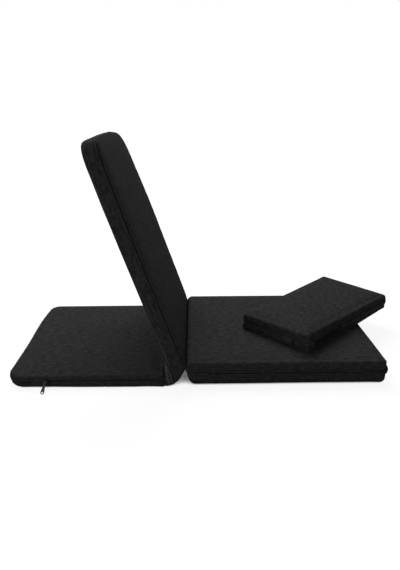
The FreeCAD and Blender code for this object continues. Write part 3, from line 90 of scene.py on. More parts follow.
class Graph:
    """Adds nodes to one node tree and links them."""

    def __init__(self, tree: NodeTree) -> None:
        """Takes the tree that the nodes go into."""
        self.tree = tree

    def node(self, kind: str, inputs: Optional[dict[Any, Any]] = None, **settings: Any) -> Any:
        """Adds a node.

        Args:
            kind: the node's type name.
            inputs: a number, colour or output socket for each input, by name or number.
            settings: the node's own properties.

        Returns:
            The new node.
        """
        made = self.tree.nodes.new(kind)
        for key, value in settings.items():
            setattr(made, key, value)
        for key, value in (inputs or {}).items():
            self.plug(made.inputs[key], value)
        return made

    def plug(self, socket: Any, value: Any) -> None:
        """Links an output to a socket, or sets the socket's own value.

        Args:
            socket: the input socket.
            value: an output socket, or a plain value.
        """
        if isinstance(value, bpy.types.NodeSocket):
            self.tree.links.new(value, socket)
        else:
            socket.default_value = value

    def group(self, tree: NodeTree, inputs: dict[str, Any]) -> Any:
        """Places a shared effect with its own inputs."""
        return self.node("ShaderNodeGroup", inputs, node_tree=tree)

    def attribute(self, name: str) -> Any:
        """The socket of a number stored at each vertex."""
        return self.node("ShaderNodeAttribute", attribute_name=name).outputs["Fac"]

    def place(self) -> Any:
        """The socket of the Object coordinates."""
        return self.node("ShaderNodeTexCoord").outputs["Object"]

    def for_camera(self, plain: Any, seen: Any) -> Any:
        """What the camera sees of one shader node, with another for every other ray."""
        camera = self.node("ShaderNodeLightPath").outputs["Is Camera Ray"]
        inputs = {0: camera, 1: plain.outputs[0], 2: seen.outputs[0]}
        return self.node("ShaderNodeMixShader", inputs).outputs[0]

    def math(self, operation: str, *values: Any, clamp: bool = False) -> Any:
        """The result of a Math node; clamp holds it between 0 and 1."""
        inputs = dict(enumerate(values))
        return self.node("ShaderNodeMath", inputs, operation=operation, use_clamp=clamp).outputs[0]

    def noise(self, vector: Any, scale: float, detail: float = 2.0, rough: float = 0.5) -> Any:
        """The factor of a noise texture, by its features per metre, its octaves and their roughness."""
        inputs = {"Vector": vector, "Scale": scale, "Detail": detail, "Roughness": rough}
        return self.node("ShaderNodeTexNoise", inputs).outputs["Fac"]

    def stretch(self, vector: Any, scale: Sequence[float], turn: Sequence[float] = (0, 0, 0)) -> Any:
        """Coordinates scaled along each axis and turned about each, in radians."""
        inputs = {"Vector": vector, "Scale": tuple(scale), "Rotation": tuple(turn)}
        return self.node("ShaderNodeMapping", inputs).outputs[0]

    def blend(self, factor: Any, low: Any, high: Any) -> Any:
        """Mixes two colours: a factor of 0 gives the low one and 1 the high one."""
        inputs = {0: factor, 6: low, 7: high}
        return self.node("ShaderNodeMix", inputs, data_type="RGBA").outputs[2]

    def span(self, value: Any, low: float, high: float, to_low: float = 0, to_high: float = 1) -> Any:
        """Maps a range of values to another and holds it beyond: eased if low is under high, else straight.

        Args:
            value: the value's socket.
            low: where the range starts.
            high: where the range ends.
            to_low: what it starts as.
            to_high: what it ends as.

        Returns:
            The result's socket.
        """
        inputs = {0: value, 1: low, 2: high, 3: to_low, 4: to_high}
        kind = "SMOOTHSTEP" if low < high else "LINEAR"
        return self.node("ShaderNodeMapRange", inputs, interpolation_type=kind).outputs[0]

    def bump(self, height: Any, distance: float, strength: float = 1.0) -> Any:
        """The normal of a Bump node: a height from 0 to 1, how high 1 is in metres, and how much shows."""
        inputs = {"Height": height, "Distance": distance, "Strength": strength}
        return self.node("ShaderNodeBump", inputs).outputs[0]


def new_group(name: str, inputs: dict[str, Any], outputs: Sequence[str]) -> tuple[Graph, Any, Any]:
    """Starts a shader node group.

    Args:
        name: the group's name.
        inputs: each input's default value; None is a vector.
        outputs: the names of its outputs, which are numbers.

    Returns:
        Its graph, the sockets it is given and the sockets it gives.
    """
    tree = bpy.data.node_groups.new(name, "ShaderNodeTree")
    for key, value in inputs.items():
        kind = "NodeSocketVector" if value is None else "NodeSocketFloat"
        socket = tree.interface.new_socket(key, in_out="INPUT", socket_type=kind)
        if value is not None:
            socket.default_value = value
    for key in outputs:
        tree.interface.new_socket(key, in_out="OUTPUT", socket_type="NodeSocketFloat")
    graph = Graph(tree)
    return graph, graph.node("NodeGroupInput").outputs, graph.node("NodeGroupOutput").inputs


def weave_group() -> NodeTree:
    """Plain weave on flat coordinates: crossing threads, and slubs along both.

    Returns:
        The node group, with a thread height and a tone.
    """
    inputs = {"Vector": None, "Pitch": 1 * MM, "Slub": 0.5}
    g, given, gives = new_group("plain_weave", inputs, ("Height", "Tone"))
    parts = g.node("ShaderNodeSeparateXYZ", {0: given["Vector"]}).outputs
    across = g.math("DIVIDE", parts[0], given["Pitch"])
    along = g.math("DIVIDE", parts[1], given["Pitch"])

    def thread(a: Any, b: Any, shift: float) -> Any:
        """One set of threads: round across a, going over and under along b."""
        round_top = g.math("ABSOLUTE", g.math("SINE", g.math("MULTIPLY", a, math.pi)))
        phase = g.math("MULTIPLY", g.math("ADD", g.math("ADD", b, g.math("FLOOR", a)), shift), math.pi)
        lift = g.math("MULTIPLY_ADD", g.math("COSINE", phase), 0.5, 0.5)
        return g.math("MULTIPLY", round_top, lift)

    height = g.math("MAXIMUM", thread(across, along, 0.5), thread(along, across, 1.5))
    warp = g.noise(g.stretch(given["Vector"], (1, 0.12, 1)), 300, 3, 0.6)
    weft = g.noise(g.stretch(given["Vector"], (0.3, 1, 1)), 190, 3, 0.6)
    slub = g.math("MULTIPLY_ADD", warp, 0.3, g.math("MULTIPLY", weft, 0.7))
    mixed = g.math("MULTIPLY", g.math("SUBTRACT", slub, 0.5), given["Slub"])
    g.plug(gives["Tone"], g.math("ADD", mixed, 0.5, clamp=True))
    g.plug(gives["Height"], g.math("ADD", g.math("MULTIPLY", height, 0.6), mixed))
    return g.tree


def lint_group() -> NodeTree:
    """Specks of lint and soft patches of dust.

    Returns:
        The node group, with a speck mask and a patch value.
    """
    g, given, gives = new_group("lint_and_dust", {"Vector": None}, ("Specks", "Patches"))
    vector = given["Vector"]
    spots = g.node("ShaderNodeTexVoronoi", {"Vector": vector, "Scale": 190.0}, feature="F1")
    near = g.span(spots.outputs["Distance"], 0.16, 0.04)
    chosen = g.span(g.noise(vector, 45, 2), 0.56, 0.7)
    g.plug(gives["Specks"], g.math("MULTIPLY", near, chosen))
    broad = g.math("MULTIPLY", g.noise(vector, 9, 4, 0.55), 0.65)
    fine = g.math("MULTIPLY", g.noise(vector, 70, 3, 0.6), 0.35)
    g.plug(gives["Patches"], g.math("ADD", broad, fine))
    return g.tree


def seam_group() -> NodeTree:
    """A sewn seam: painted shade in its groove, a painted highlight on the edge beside it and a row of
    stitches.

    Returns:
        The node group, with a mask of the painted groove shade, a mask of the painted edge highlight and a
        stitch mask.
    """
    inputs = {"Seam": 1.0, "Row": 1.0, "Along": 0.0, "Width": 1.2 * MM, "Stitch": 3 * MM}
    g, given, gives = new_group("sewn_seam", inputs, ("ValleyShade", "Edge", "Stitches"))
    share = g.math("DIVIDE", g.math("ABSOLUTE", given["Seam"]), given["Width"])
    g.plug(gives["ValleyShade"], g.span(share, 1.6, 0.5))
    g.plug(gives["Edge"], g.math("MULTIPLY", g.span(share, 0.9, 1.7), g.span(share, 2.9, 1.8)))
    row = g.span(g.math("ABSOLUTE", given["Row"]), 0.6 * MM, 0.2 * MM)
    step = g.math("FRACT", g.math("DIVIDE", given["Along"], given["Stitch"]))
    dash = g.span(g.math("ABSOLUTE", g.math("SUBTRACT", step, 0.5)), 0.4, 0.3)
    g.plug(gives["Stitches"], g.math("MULTIPLY", row, dash))
    return g.tree


def wear_group() -> NodeTree:
    """Uneven plating: cloudy patches, fine scratches one way and dull spots.

    Returns:
        The node group, with a cloud value, a scratch value and a spot mask.
    """
    g, given, gives = new_group("plating_wear", {"Vector": None}, ("Clouds", "Scratches", "Spots"))
    vector = given["Vector"]
    g.plug(gives["Clouds"], g.noise(vector, 120, 3, 0.6))
    g.plug(gives["Scratches"], g.noise(g.stretch(vector, (0.06, 1, 1)), 1500, 2, 0.7))
    g.plug(gives["Spots"], g.span(g.noise(vector, 320, 2, 0.5), 0.6, 0.7))
    return g.tree


class Groups(NamedTuple):
    """The shared effects, each made once."""

    weave: NodeTree
    lint: NodeTree
    seam: NodeTree
    wear: NodeTree


# -------- finishes


def toned(colour: Colour, share: float = 1.0) -> tuple[float, float, float, float]:
    """A colour times a share, with its alpha."""
    return (colour[0] * share, colour[1] * share, colour[2] * share, 1)


@dataclass(frozen=True)
class Finish:
    """A finish of the chair, made as one material."""

    name: str

    def look(self, g: Graph, groups: Groups) -> dict[str, Any]:
        """What the Principled BSDF gets, by the names of its inputs; each kind of finish has its own."""
        return {}

    def material(self, groups: Groups) -> Material:
        """Builds the material.

        Args:
            groups: the shared effects.

        Returns:
            The material.
        """
        made = bpy.data.materials.new(self.name)
        made.use_nodes = True
        graph = Graph(made.node_tree)
        shader = made.node_tree.nodes["Principled BSDF"]
        for name, value in self.look(graph, groups).items():
            graph.plug(shader.inputs[name], value)
        return made


@dataclass(frozen=True)
class Canvas(Finish):
    """Woven cover cloth with its seams, read from the piece's own map and attributes; the seams carry painted
    shade and painted highlights.
    """

    name: str = "charcoal_canvas"
    dark: Colour = (0.0150, 0.0152, 0.0158)
    light: Colour = (0.0400, 0.0402, 0.0412)
    # Colour of the painted highlight beside each seam and crease.
    pressed_highlight: Colour = (0.078, 0.078, 0.080)
    # Colour of the painted shade in each seam's groove.
    valley_shade: Colour = (0.002, 0.002, 0.002)
    thread: float = 1.1 * MM
    rough: float = 0.95
    slub: float = 2.1
    patchy: float = 0.3
    gloss: float = 0.03

    def look(self, g: Graph, groups: Groups) -> dict[str, Any]:
        """Paints the weave, the lint on it, and on the seams painted shade in each groove and a painted
        highlight beside it.

        Args:
            g: the material's graph.
            groups: the shared effects.

        Returns:
            What the Principled BSDF gets, by the names of its inputs.
        """
        flat = g.node("ShaderNodeUVMap", uv_map=UV_NAME).outputs[0]
        along = g.node("ShaderNodeSeparateXYZ", {0: flat}).outputs[0]
        weave = g.group(groups.weave, {"Vector": flat, "Pitch": self.thread, "Slub": self.slub}).outputs
        lint = g.group(groups.lint, {"Vector": g.place()}).outputs
        sewn = {"Seam": g.attribute(SEAM_NAME), "Row": g.attribute(STITCH_NAME), "Along": along}
        seam = g.group(groups.seam, sewn).outputs
        patches = g.math("SUBTRACT", lint["Patches"], 0.5)
        tone = g.math("MULTIPLY_ADD", patches, self.patchy, weave["Tone"])
        tone = g.math("MULTIPLY_ADD", lint["Specks"], 0.5, tone)
        cloth = g.blend(g.span(tone, 0.1, 0.95), toned(self.dark), toned(self.light))
        # Painted highlight on the edge beside each seam.
        cloth = g.blend(g.math("MULTIPLY", seam["Edge"], 0.6), cloth, toned(self.pressed_highlight))
        # Painted shade in each seam's groove.
        shade = g.math("MULTIPLY_ADD", seam["ValleyShade"], -0.9, 1, clamp=True)
        stitched = g.math("MULTIPLY_ADD", seam["Stitches"], -1.6, weave["Height"])
        height = g.math("MULTIPLY_ADD", seam["ValleyShade"], -2.2, stitched)
        return {
            "Base Color": g.blend(shade, toned(self.valley_shade), cloth),
            "Roughness": g.math("MULTIPLY_ADD", patches, 0.1, self.rough),
            "Specular IOR Level": self.gloss,
            "Normal": g.bump(height, 0.35 * MM, 0.7),
        }


@dataclass(frozen=True)
class Strap(Finish):
    """Woven tape or strap on a plain solid, with its threads along its own direction."""

    colour: Colour
    turn: Triple = (0.0, 0.0, 0.0)
    thread: float = 0.9 * MM
    slub: float = 0.8
    gloss: float = 0.2

    def look(self, g: Graph, groups: Groups) -> dict[str, Any]:
        """Paints the weave and the lint on it.

        Args:
            g: the material's graph.
            groups: the shared effects.

        Returns:
            What the Principled BSDF gets, by the names of its inputs.
        """
        place = g.place()
        turned = g.stretch(place, (1, 1, 1), self.turn)
        weave = g.group(groups.weave, {"Vector": turned, "Pitch": self.thread, "Slub": self.slub}).outputs
        lint = g.group(groups.lint, {"Vector": place}).outputs
        tone = g.math("MULTIPLY_ADD", lint["Specks"], 0.5, weave["Tone"])
        return {
            "Base Color": g.blend(tone, toned(self.colour, 0.6), toned(self.colour, 1.5)),
            "Roughness": g.math("MULTIPLY_ADD", lint["Patches"], 0.2, 0.7),
            "Specular IOR Level": self.gloss,
            "Normal": g.bump(weave["Height"], 0.25 * MM, 0.6),
        }


@dataclass(frozen=True)
class ZipTape(Finish):
    """Zip tape with its coil: ribbed nylon along the middle, woven tape beside it."""

    turn: Triple
    centre: Triple
    coil: float = 2.2 * MM
    pitch: float = 1.6 * MM
    gloss: float = 0.1
    tape: tuple[Colour, Colour] = ((0.006, 0.006, 0.006), (0.02, 0.02, 0.021))
    nylon: tuple[Colour, Colour] = ((0.002, 0.002, 0.002), (0.012, 0.012, 0.013))

    def look(self, g: Graph, groups: Groups) -> dict[str, Any]:
        """Paints the tape and its coil.

        Args:
            g: the material's graph.
            groups: the shared effects.

        Returns:
            What the Principled BSDF gets, by the names of its inputs.
        """
        place = g.place()
        moved = g.node("ShaderNodeVectorMath", {0: place, 1: self.centre}, operation="SUBTRACT").outputs[0]
        parts = g.node("ShaderNodeSeparateXYZ", {0: g.stretch(moved, (1, 1, 1), self.turn)}).outputs
        inside = g.span(g.math("ABSOLUTE", parts[2]), self.coil, self.coil * 0.9)
        along = g.math("MULTIPLY", g.math("ADD", parts[0], parts[1]), 2 * math.pi / self.pitch)
        ribs = g.math("MULTIPLY", inside, g.math("MULTIPLY_ADD", g.math("SINE", along), 0.5, 0.5))
        weave = g.group(groups.weave, {"Vector": place}).outputs
        tape = g.blend(weave["Tone"], toned(self.tape[0]), toned(self.tape[1]))
        nylon = g.blend(ribs, toned(self.nylon[0]), toned(self.nylon[1]))
        height = g.math("ADD", g.math("MULTIPLY", weave["Height"], 0.3), ribs)
        return {
            "Base Color": g.blend(inside, tape, nylon),
            "Roughness": g.math("MULTIPLY_ADD", inside, -0.2, 0.85),
            "Specular IOR Level": self.gloss,
            "Normal": g.bump(height, 0.5 * MM, 0.8),
        }


@dataclass(frozen=True)
class Metal(Finish):
    """Plated or lacquered metal with clouds, fine scratches and dull spots."""

    colour: Colour
    rough: float
    metallic: float = 1.0
    wear: float = 0.3

    def look(self, g: Graph, groups: Groups) -> dict[str, Any]:
        """Paints the plating and its wear.

        Args:
            g: the material's graph.
            groups: the shared effects.

        Returns:
            What the Principled BSDF gets, by the names of its inputs.
        """
        wear = g.group(groups.wear, {"Vector": g.place()}).outputs
        clouds = g.span(wear["Clouds"], 0.3, 0.7)
        plating = g.blend(clouds, toned(self.colour, 1 - self.wear), toned(self.colour))
        spots = g.math("MULTIPLY", wear["Spots"], self.wear)
        rough = g.math("MULTIPLY_ADD", wear["Scratches"], 0.25, self.rough - 0.12)
        return {
            "Base Color": g.blend(spots, plating, toned(self.colour, 0.45)),
            "Roughness": g.math("ADD", rough, g.math("MULTIPLY", spots, 0.3), clamp=True),
            "Metallic": self.metallic,
            "Normal": g.bump(wear["Scratches"], 0.05 * MM, 0.4),
        }


@dataclass(frozen=True)
class Foam(Finish):
    """Cream open-cell foam."""

    name: str = "cream_foam"
    colour: Colour = (0.62, 0.56, 0.42)
    cells: float = 620.0

    def look(self, g: Graph, groups: Groups) -> dict[str, Any]:
        """Paints the cells of the foam.

        Args:
            g: the material's graph.
            groups: the shared effects.

        Returns:
            What the Principled BSDF gets, by the names of its inputs.
        """
        place = g.place()
        lint = g.group(groups.lint, {"Vector": place}).outputs
        cells = g.node("ShaderNodeTexVoronoi", {"Vector": place, "Scale": self.cells}).outputs["Distance"]
        return {
            "Base Color": g.blend(lint["Patches"], toned(self.colour, 0.8), toned(self.colour)),
            "Roughness": g.math("MULTIPLY_ADD", cells, 0.1, 0.85),
            "Normal": g.bump(cells, 0.6 * MM, 0.8),
        }


# -------- padded covers


class Corner(NamedTuple):
    """A corner of a side outline: its place and the radius that rounds it."""

    x: float
    z: float
    round: float = 0.0


class Closing(Enum):
    """How a stretch of a pad's side band is closed."""

    SEAM = "seam"
    ZIP = "zip"
    FLAP = "flap"


def ramp(value: Array, low: float, high: float) -> Array:
    """Goes smoothly from 0 at low to 1 at high."""
    t = np.clip((value - low) / (high - low), 0.0, 1.0)
    return t * t * (3 - 2 * t)


def hump(value: Array, middle: float, width: float) -> Array:
    """A bell of height 1 about the middle."""
    return np.exp(-(((value - middle) / width) ** 2))


def ripple(points: Array, scale: Sequence[float], seed: float) -> Array:
    """Smooth noise from -1 to 1 at each point, with its size along each axis; the seed moves it."""
    scaled = points / np.array(scale) + seed
    return np.array([noise.noise(Vector(p)) for p in scaled])


def rows_of(items: Any, field: str) -> Array:
    """The vector that each of a mesh's items holds, one row each."""
    values = np.empty(len(items) * 3, np.float32)
    items.foreach_get(field, values)
    return values.reshape(-1, 3).astype(float)


def set_vertices(mesh: Any, co: Array) -> None:
    """Moves a mesh's vertices to new places."""
    mesh.vertices.foreach_set("co", co.astype(np.float32).ravel())
    mesh.update()


def add_values(mesh: Any, name: str, values: Array) -> None:
    """Stores one number for each vertex of a mesh."""
    mesh.attributes.new(name, "FLOAT", "POINT").data.foreach_set("value", values.astype(np.float32))


def corners_of(mesh: Any) -> Array:
    """The number of the vertex at each corner of each face."""
    return np.array([loop.vertex_index for loop in mesh.loops])


def add_map(mesh: Any, uv: Array) -> None:
    """Lays the cloth's map on a mesh, in metres, with one row for each corner of each face."""
    mesh.uv_layers.new(name=UV_NAME).data.foreach_set("uv", uv.astype(np.float32).ravel())


def new_object(name: str, bm: Any, finish: Material) -> Object:
    """Turns a bmesh into an object of the scene.

    Args:
        name: the object's name.
        bm: the bmesh, which is freed.
        finish: its material.

    Returns:
        The object.
    """
    mesh = bpy.data.meshes.new(name)
    bm.to_mesh(mesh)
    bm.free()
    mesh.materials.append(finish)
    obj = bpy.data.objects.new(name, mesh)
    bpy.context.scene.collection.objects.link(obj)
    log.info("%s: %d faces", name, len(mesh.polygons))
    return obj


def rounded_outline(corners: Sequence[Corner], y: float, segments: int = 6) -> Any:
    """Draws a side outline as one face, with its corners rounded.

    Args:
        corners: the outline's corners in order.
        y: where the face lies across the width.
        segments: runs in each rounded corner.

    Returns:
        A bmesh with one face.
    """
    bm = bmesh.new()
    points = [bm.verts.new((c.x, y, c.z)) for c in corners]
    bm.faces.new(points)
    for vert, corner in zip(points, corners):
        if corner.round:
            bmesh.ops.bevel(
                bm, geom=[vert], offset=corner.round, offset_type="OFFSET", segments=segments,
                profile=0.5, affect="VERTICES", material=-1, clamp_overlap=False,
            )
    return bm


def extrude_across(bm: Any, width: float) -> None:
    """Gives an outline's face its width, with the walls closed and facing out.

    Args:
        bm: the bmesh with one face.
        width: how far it goes along Y.
    """
    made = bmesh.ops.extrude_face_region(bm, geom=list(bm.faces))
    moved = [v for v in made["geom"] if isinstance(v, bmesh.types.BMVert)]
    bmesh.ops.translate(bm, verts=moved, vec=(0, width, 0))
    bmesh.ops.recalc_face_normals(bm, faces=list(bm.faces))


def bevel_edges(bm: Any, edges: Iterable[Any], offset: float, segments: int) -> None:
    """Rounds edges: the offset is how far it goes along the faces beside them."""
    bmesh.ops.bevel(
        bm, geom=list(edges), offset=offset, offset_type="OFFSET", segments=segments, profile=0.5,
        affect="EDGES", material=-1, clamp_overlap=True,
    )


def cut_at(bm: Any, axis: int, places: Iterable[float]) -> None:
    """Cuts all faces by planes square to one axis.

    Args:
        bm: the bmesh.
        axis: 0, 1 or 2.
        places: where the planes are along it.
    """
    normal = Vector((0, 0, 0))
    normal[axis] = 1
    for place in places:
        geom = list(bm.verts) + list(bm.edges) + list(bm.faces)
        bmesh.ops.bisect_plane(bm, geom=geom, dist=TINY, plane_co=normal * place, plane_no=normal)


def even_cuts(low: float, high: float, pitch: float) -> Array:
    """Places that divide a length evenly, about a pitch apart, without its ends."""
    count = max(1, round((high - low) / pitch))
    return np.linspace(low, high, count + 1)[1:-1]


@dataclass
class Pad:
    """A padded cover, built lying flat: X along it, Y across it and Z through its thickness."""

    name: str
    body: str
    stands_for: tuple[str, ...]
    low: float
    high: float
    width: float
    thick: float
    seam: float
    place: Matrix
    rim: float = 3.5 * MM
    puff: float = 1.8 * MM
    crown: float = 3 * MM
    crown_under: float = 0.0
    cell: float = 6.5 * MM
    fill: float = 0.8
    seed: float = 0.0
    pressure: float = 4.0
    give: float = 3.5 * MM
    core_holds: float = 0.9
    swell_reach: float = 28 * MM
    dip: float = 1.2 * MM
    lip: float = 1.9 * MM
    flap: float = 2.6 * MM
    frames: int = 20
    corner_runs: int = 8
    rim_runs: int = 3
    sharp: float = 0.9
    row_steps: tuple[float, ...] = (1.1 * MM, 1.9 * MM, 3.3 * MM, 5.2 * MM, 8.0 * MM)
    row_pitch: float = 5.5 * MM

    def outline(self) -> Sequence[Corner]:
        """The side outline's corners."""
        low, high, top = self.low + self.puff, self.high - self.puff, self.thick - self.puff
        return [Corner(low, 0), Corner(high, 0), Corner(high, top), Corner(low, top)]

    def plan_corners(self) -> Sequence[tuple[float, int, float]]:
        """Each rounded corner of the plan: its place along X, its side along Y (-1 or 1) and its radius."""
        return []

    def closing(self, co: Array) -> dict[Closing, Array]:
        """How strongly each closing shows at each vertex: a plain seam all round."""
        return {Closing.SEAM: np.ones(len(co))}

    def blank(self) -> Any:
        """Builds the plain form, slightly small, with its faces cut into cells.

        Returns:
            A closed bmesh.
        """
        half = self.width / 2 - self.puff
        bm = self.side_face(-half)
        extrude_across(bm, 2 * half)
        for x, side, radius in self.plan_corners():
            edges = [
                e for e in bm.edges
                if all(abs(v.co.x - x) < TINY and abs(v.co.y - side * half) < TINY for v in e.verts)
            ]
            bevel_edges(bm, edges, radius - self.puff, self.corner_runs)
        sharp = [e for e in bm.edges if len(e.link_faces) == 2 and e.calc_face_angle(0) > self.sharp]
        bevel_edges(bm, sharp, self.rim - self.puff / 2, self.rim_runs)
        cut_at(bm, 2, self.rows())
        cut_at(bm, 0, even_cuts(self.low + self.rim, self.high - self.rim, self.cell))
        cut_at(bm, 1, even_cuts(-half + self.rim, half - self.rim, self.cell))
        bmesh.ops.remove_doubles(bm, verts=list(bm.verts), dist=0.2 * MM)
        bmesh.ops.dissolve_degenerate(bm, edges=list(bm.edges), dist=TINY)
        bmesh.ops.recalc_face_normals(bm, faces=list(bm.faces))
        return bm

    def side_face(self, y: float) -> Any:
        """The side outline as a face at one side."""
        return rounded_outline(self.outline(), y)

    def rows(self) -> list[float]:
        """Heights of the cuts round the side band: close beside the seam, wider away from it.

        Returns:
            The heights, in no order.
        """
        last = self.row_steps[-1]
        rows = [self.seam] + [self.seam + side * step for step in self.row_steps for side in (-1, 1)]
        upper = even_cuts(self.seam + last, self.thick - self.rim, self.row_pitch)
        lower = even_cuts(self.rim, self.seam - last, self.row_pitch) if self.seam > 20 * MM else []
        edge = self.rim * 0.7
        return [z for z in (*rows, *upper, *lower) if edge < z < self.thick - edge]

    def side_share(self, no: Array) -> Array:
        """How much each vertex belongs to the side band, from 0 to 1."""
        return ramp(np.hypot(no[:, 0], no[:, 1]), 0.35, 0.95)

    def inflated(self, obj: Object, co: Array, no: Array) -> Array:
        """Blows the pad up as cloth held at its seam.

        Args:
            obj: the pad's object.
            co: its vertices.
            no: their normals.

        Returns:
            The new vertices, none of them moved further than the pad gives.
        """
        held = (np.abs(co[:, 2] - self.seam) < 0.8 * MM) & (self.side_share(no) > 0.5)
        group = obj.vertex_groups.new(name="sewn")
        group.add([int(i) for i in np.nonzero(held)[0]], 1.0, "REPLACE")
        cloth = obj.modifiers.new("inflate", "CLOTH")
        settings = {
            "quality": 4, "use_pressure": True, "uniform_pressure_force": self.pressure,
            "vertex_group_mass": group.name, "tension_stiffness": 25, "compression_stiffness": 25,
            "bending_stiffness": 0.6, "shrink_min": -0.006,
        }
        for key, value in settings.items():
            setattr(cloth.settings, key, value)
        cloth.settings.effector_weights.gravity = 0
        cloth.point_cache.frame_start = 1
        cloth.point_cache.frame_end = self.frames
        for step in range(1, self.frames + 1):
            bpy.context.scene.frame_set(step)
        evaluated = obj.evaluated_get(bpy.context.evaluated_depsgraph_get())
        moved = rows_of(evaluated.data.vertices, "co") - co
        inward = np.minimum((moved * no).sum(axis=1), 0)
        moved -= self.core_holds * inward[:, None] * no
        obj.modifiers.remove(cloth)
        obj.vertex_groups.clear()
        bpy.context.scene.frame_set(1)
        length = np.linalg.norm(moved, axis=1, keepdims=True)
        return co + moved * self.give / (length + self.give)

    def shaped(self, co: Array, no: Array, start: Array) -> Array:
        """Gives the pad its crown, its bulging side band, its closings and its puckers.

        Args:
            co: the vertices.
            no: the blank's normals.
            start: the blank's vertices.

        Returns:
            The new vertices.
        """
        co = co.copy()
        x, y, z = start.T
        side, rise = self.side_share(no), z - self.seam
        plan = no * (1, 1, 0)
        plan /= np.maximum(np.linalg.norm(plan, axis=1, keepdims=True), 1e-6)
        room = np.where(rise > 0, self.thick - self.seam, self.seam)
        share = np.clip(np.abs(rise) / room, 0, 1)
        out = self.puff * (0.5 + 0.55 * np.sin(np.pi * share) ** 0.6)
        for closing, strength in self.closing(start).items():
            out = out * (1 - strength) + strength * self.closed(closing, out, rise)
        out = out + 0.5 * MM * ripple(start, (0.06, 0.06, 0.03), self.seed + 7)
        pucker = hump(rise, 0, 11 * MM) * ripple(start, (0.011, 0.011, 0.03), self.seed + 3)
        co += plan * ((out + 0.9 * MM * pucker) * side)[:, None]
        flat = 1 - side
        ends = np.minimum(x - self.low, self.high - x)
        edge = np.minimum(ends, self.width / 2 - np.abs(y))
        swell = 1 - np.exp(-np.maximum(edge, 0) / self.swell_reach)
        soft = 0.9 * MM * ripple(start, (0.11, 0.11, 0.11), self.seed)
        soft += 0.35 * MM * ripple(start, (0.03, 0.045, 0.03), self.seed + 5)
        upper, lower = flat * (no[:, 2] > 0), flat * (no[:, 2] < 0)
        co[:, 2] += upper * (self.puff * 0.95 + self.crown * swell + soft * swell)
        if self.crown_under:
            co[:, 2] -= lower * (self.puff * 0.95 + self.crown_under * swell + soft * swell)
        return co

    def closed(self, closing: Closing, out: Array, rise: Array) -> Array:
        """How far the side band stands out where it is closed one way.

        Args:
            closing: the kind of closing.
            out: how far it would stand out without one.
            rise: the height over the seam.

        Returns:
            How far it stands out with it.
        """
        away = np.abs(rise)
        if closing is Closing.SEAM:
            return out * ramp(away, 0.0, 7 * MM) - self.dip * hump(rise, 0, 2.0 * MM)
        slot = self.puff - 0.5 * MM
        if closing is Closing.ZIP:
            lip = self.puff + self.lip * ramp(away, 0.9 * MM, 1.7 * MM) * ramp(away, 10 * MM, 3.4 * MM)
            return np.where(away < 1.2 * MM, slot, np.maximum(lip, out))
        flap = self.puff + self.flap * ramp(-rise, -1 * MM, 2.5 * MM) * ramp(-rise, 24 * MM, 14 * MM)
        return np.where(rise > 0.8 * MM, out, flap) - 1.6 * MM * hump(rise, 0, 1.2 * MM)

    def tucked(self, co: Array, start: Array, deep: Any, high: float) -> None:
        """Draws both lower edges in under the pad.

        Args:
            co: the vertices, which it moves.
            start: the blank's vertices.
            deep: how far the underside's edge goes in.
            high: the height where that begins.
        """
        drop = np.clip(1 - start[:, 2] / high, 0, 1)
        inside = np.clip(1 - (self.width / 2 - np.abs(start[:, 1])) / (40 * MM), 0, 1)
        co[:, 1] -= np.sign(start[:, 1]) * deep * (1 - np.sqrt(1 - drop ** 2)) * inside

    def cloth_map(self, mesh: Any, start: Array) -> None:
        """Lays the cloth's map on the pad, flat along the way that each face looks.

        Args:
            mesh: the pad's mesh, still plain.
            start: the blank's vertices.
        """
        normal = np.array([p.normal for p in mesh.polygons])
        facing = np.argmax(np.abs(normal) * (1, 1, 1.3), axis=1)
        pairs = np.array([(1, 2), (0, 2), (0, 1)])[facing]
        pairs = np.repeat(pairs, [p.loop_total for p in mesh.polygons], axis=0)
        add_map(mesh, np.take_along_axis(start[corners_of(mesh)], pairs, axis=1))

    def seam_values(self, start: Array, no: Array) -> tuple[Array, Array]:
        """How far each vertex is from the seam's groove, where shade is painted, and from the row of
        stitches.

        Args:
            start: the blank's vertices.
            no: their normals.

        Returns:
            Both distances, in metres.
        """
        rise = np.abs(start[:, 2] - self.seam)
        off = np.where(self.side_share(no) > 0.3, 0.0, AWAY)
        closing = self.closing(start)
        zipped = closing.get(Closing.ZIP, np.zeros(len(start)))
        closed = np.clip(sum(closing.values()), 0, 1)
        # Distance to the seam's groove, which sets its painted shade; far off where nothing closes the band.
        valley_shade = rise + off + 20 * MM * (1 - closed)
        row = rise - (4.0 + 4.2 * zipped) * MM
        return valley_shade, row + off

    def make(self, cloth: Material) -> Object:
        """Builds, inflates and dresses the pad.

        Args:
            cloth: the cover's cloth.

        Returns:
            The pad's object.
        """
        obj = new_object(self.name, self.blank(), cloth)
        mesh = obj.data
        start, no = rows_of(mesh.vertices, "co"), rows_of(mesh.vertex_normals, "vector")
        co = self.inflated(obj, start, no)
        co = self.shaped(co, no, start)
        co[:, 2] = np.maximum(co[:, 2], 0.0)
        self.cloth_map(mesh, start)
        for name, values in zip((SEAM_NAME, STITCH_NAME), self.seam_values(start, no)):
            add_values(mesh, name, values)
        set_vertices(mesh, co)
        mesh.transform(self.place)
        mesh.shade_smooth()
        smooth = obj.modifiers.new("smooth", "SUBSURF")
        smooth.levels = smooth.render_levels = 1
        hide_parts(*self.stands_for)
        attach(obj, self.body)
        return obj


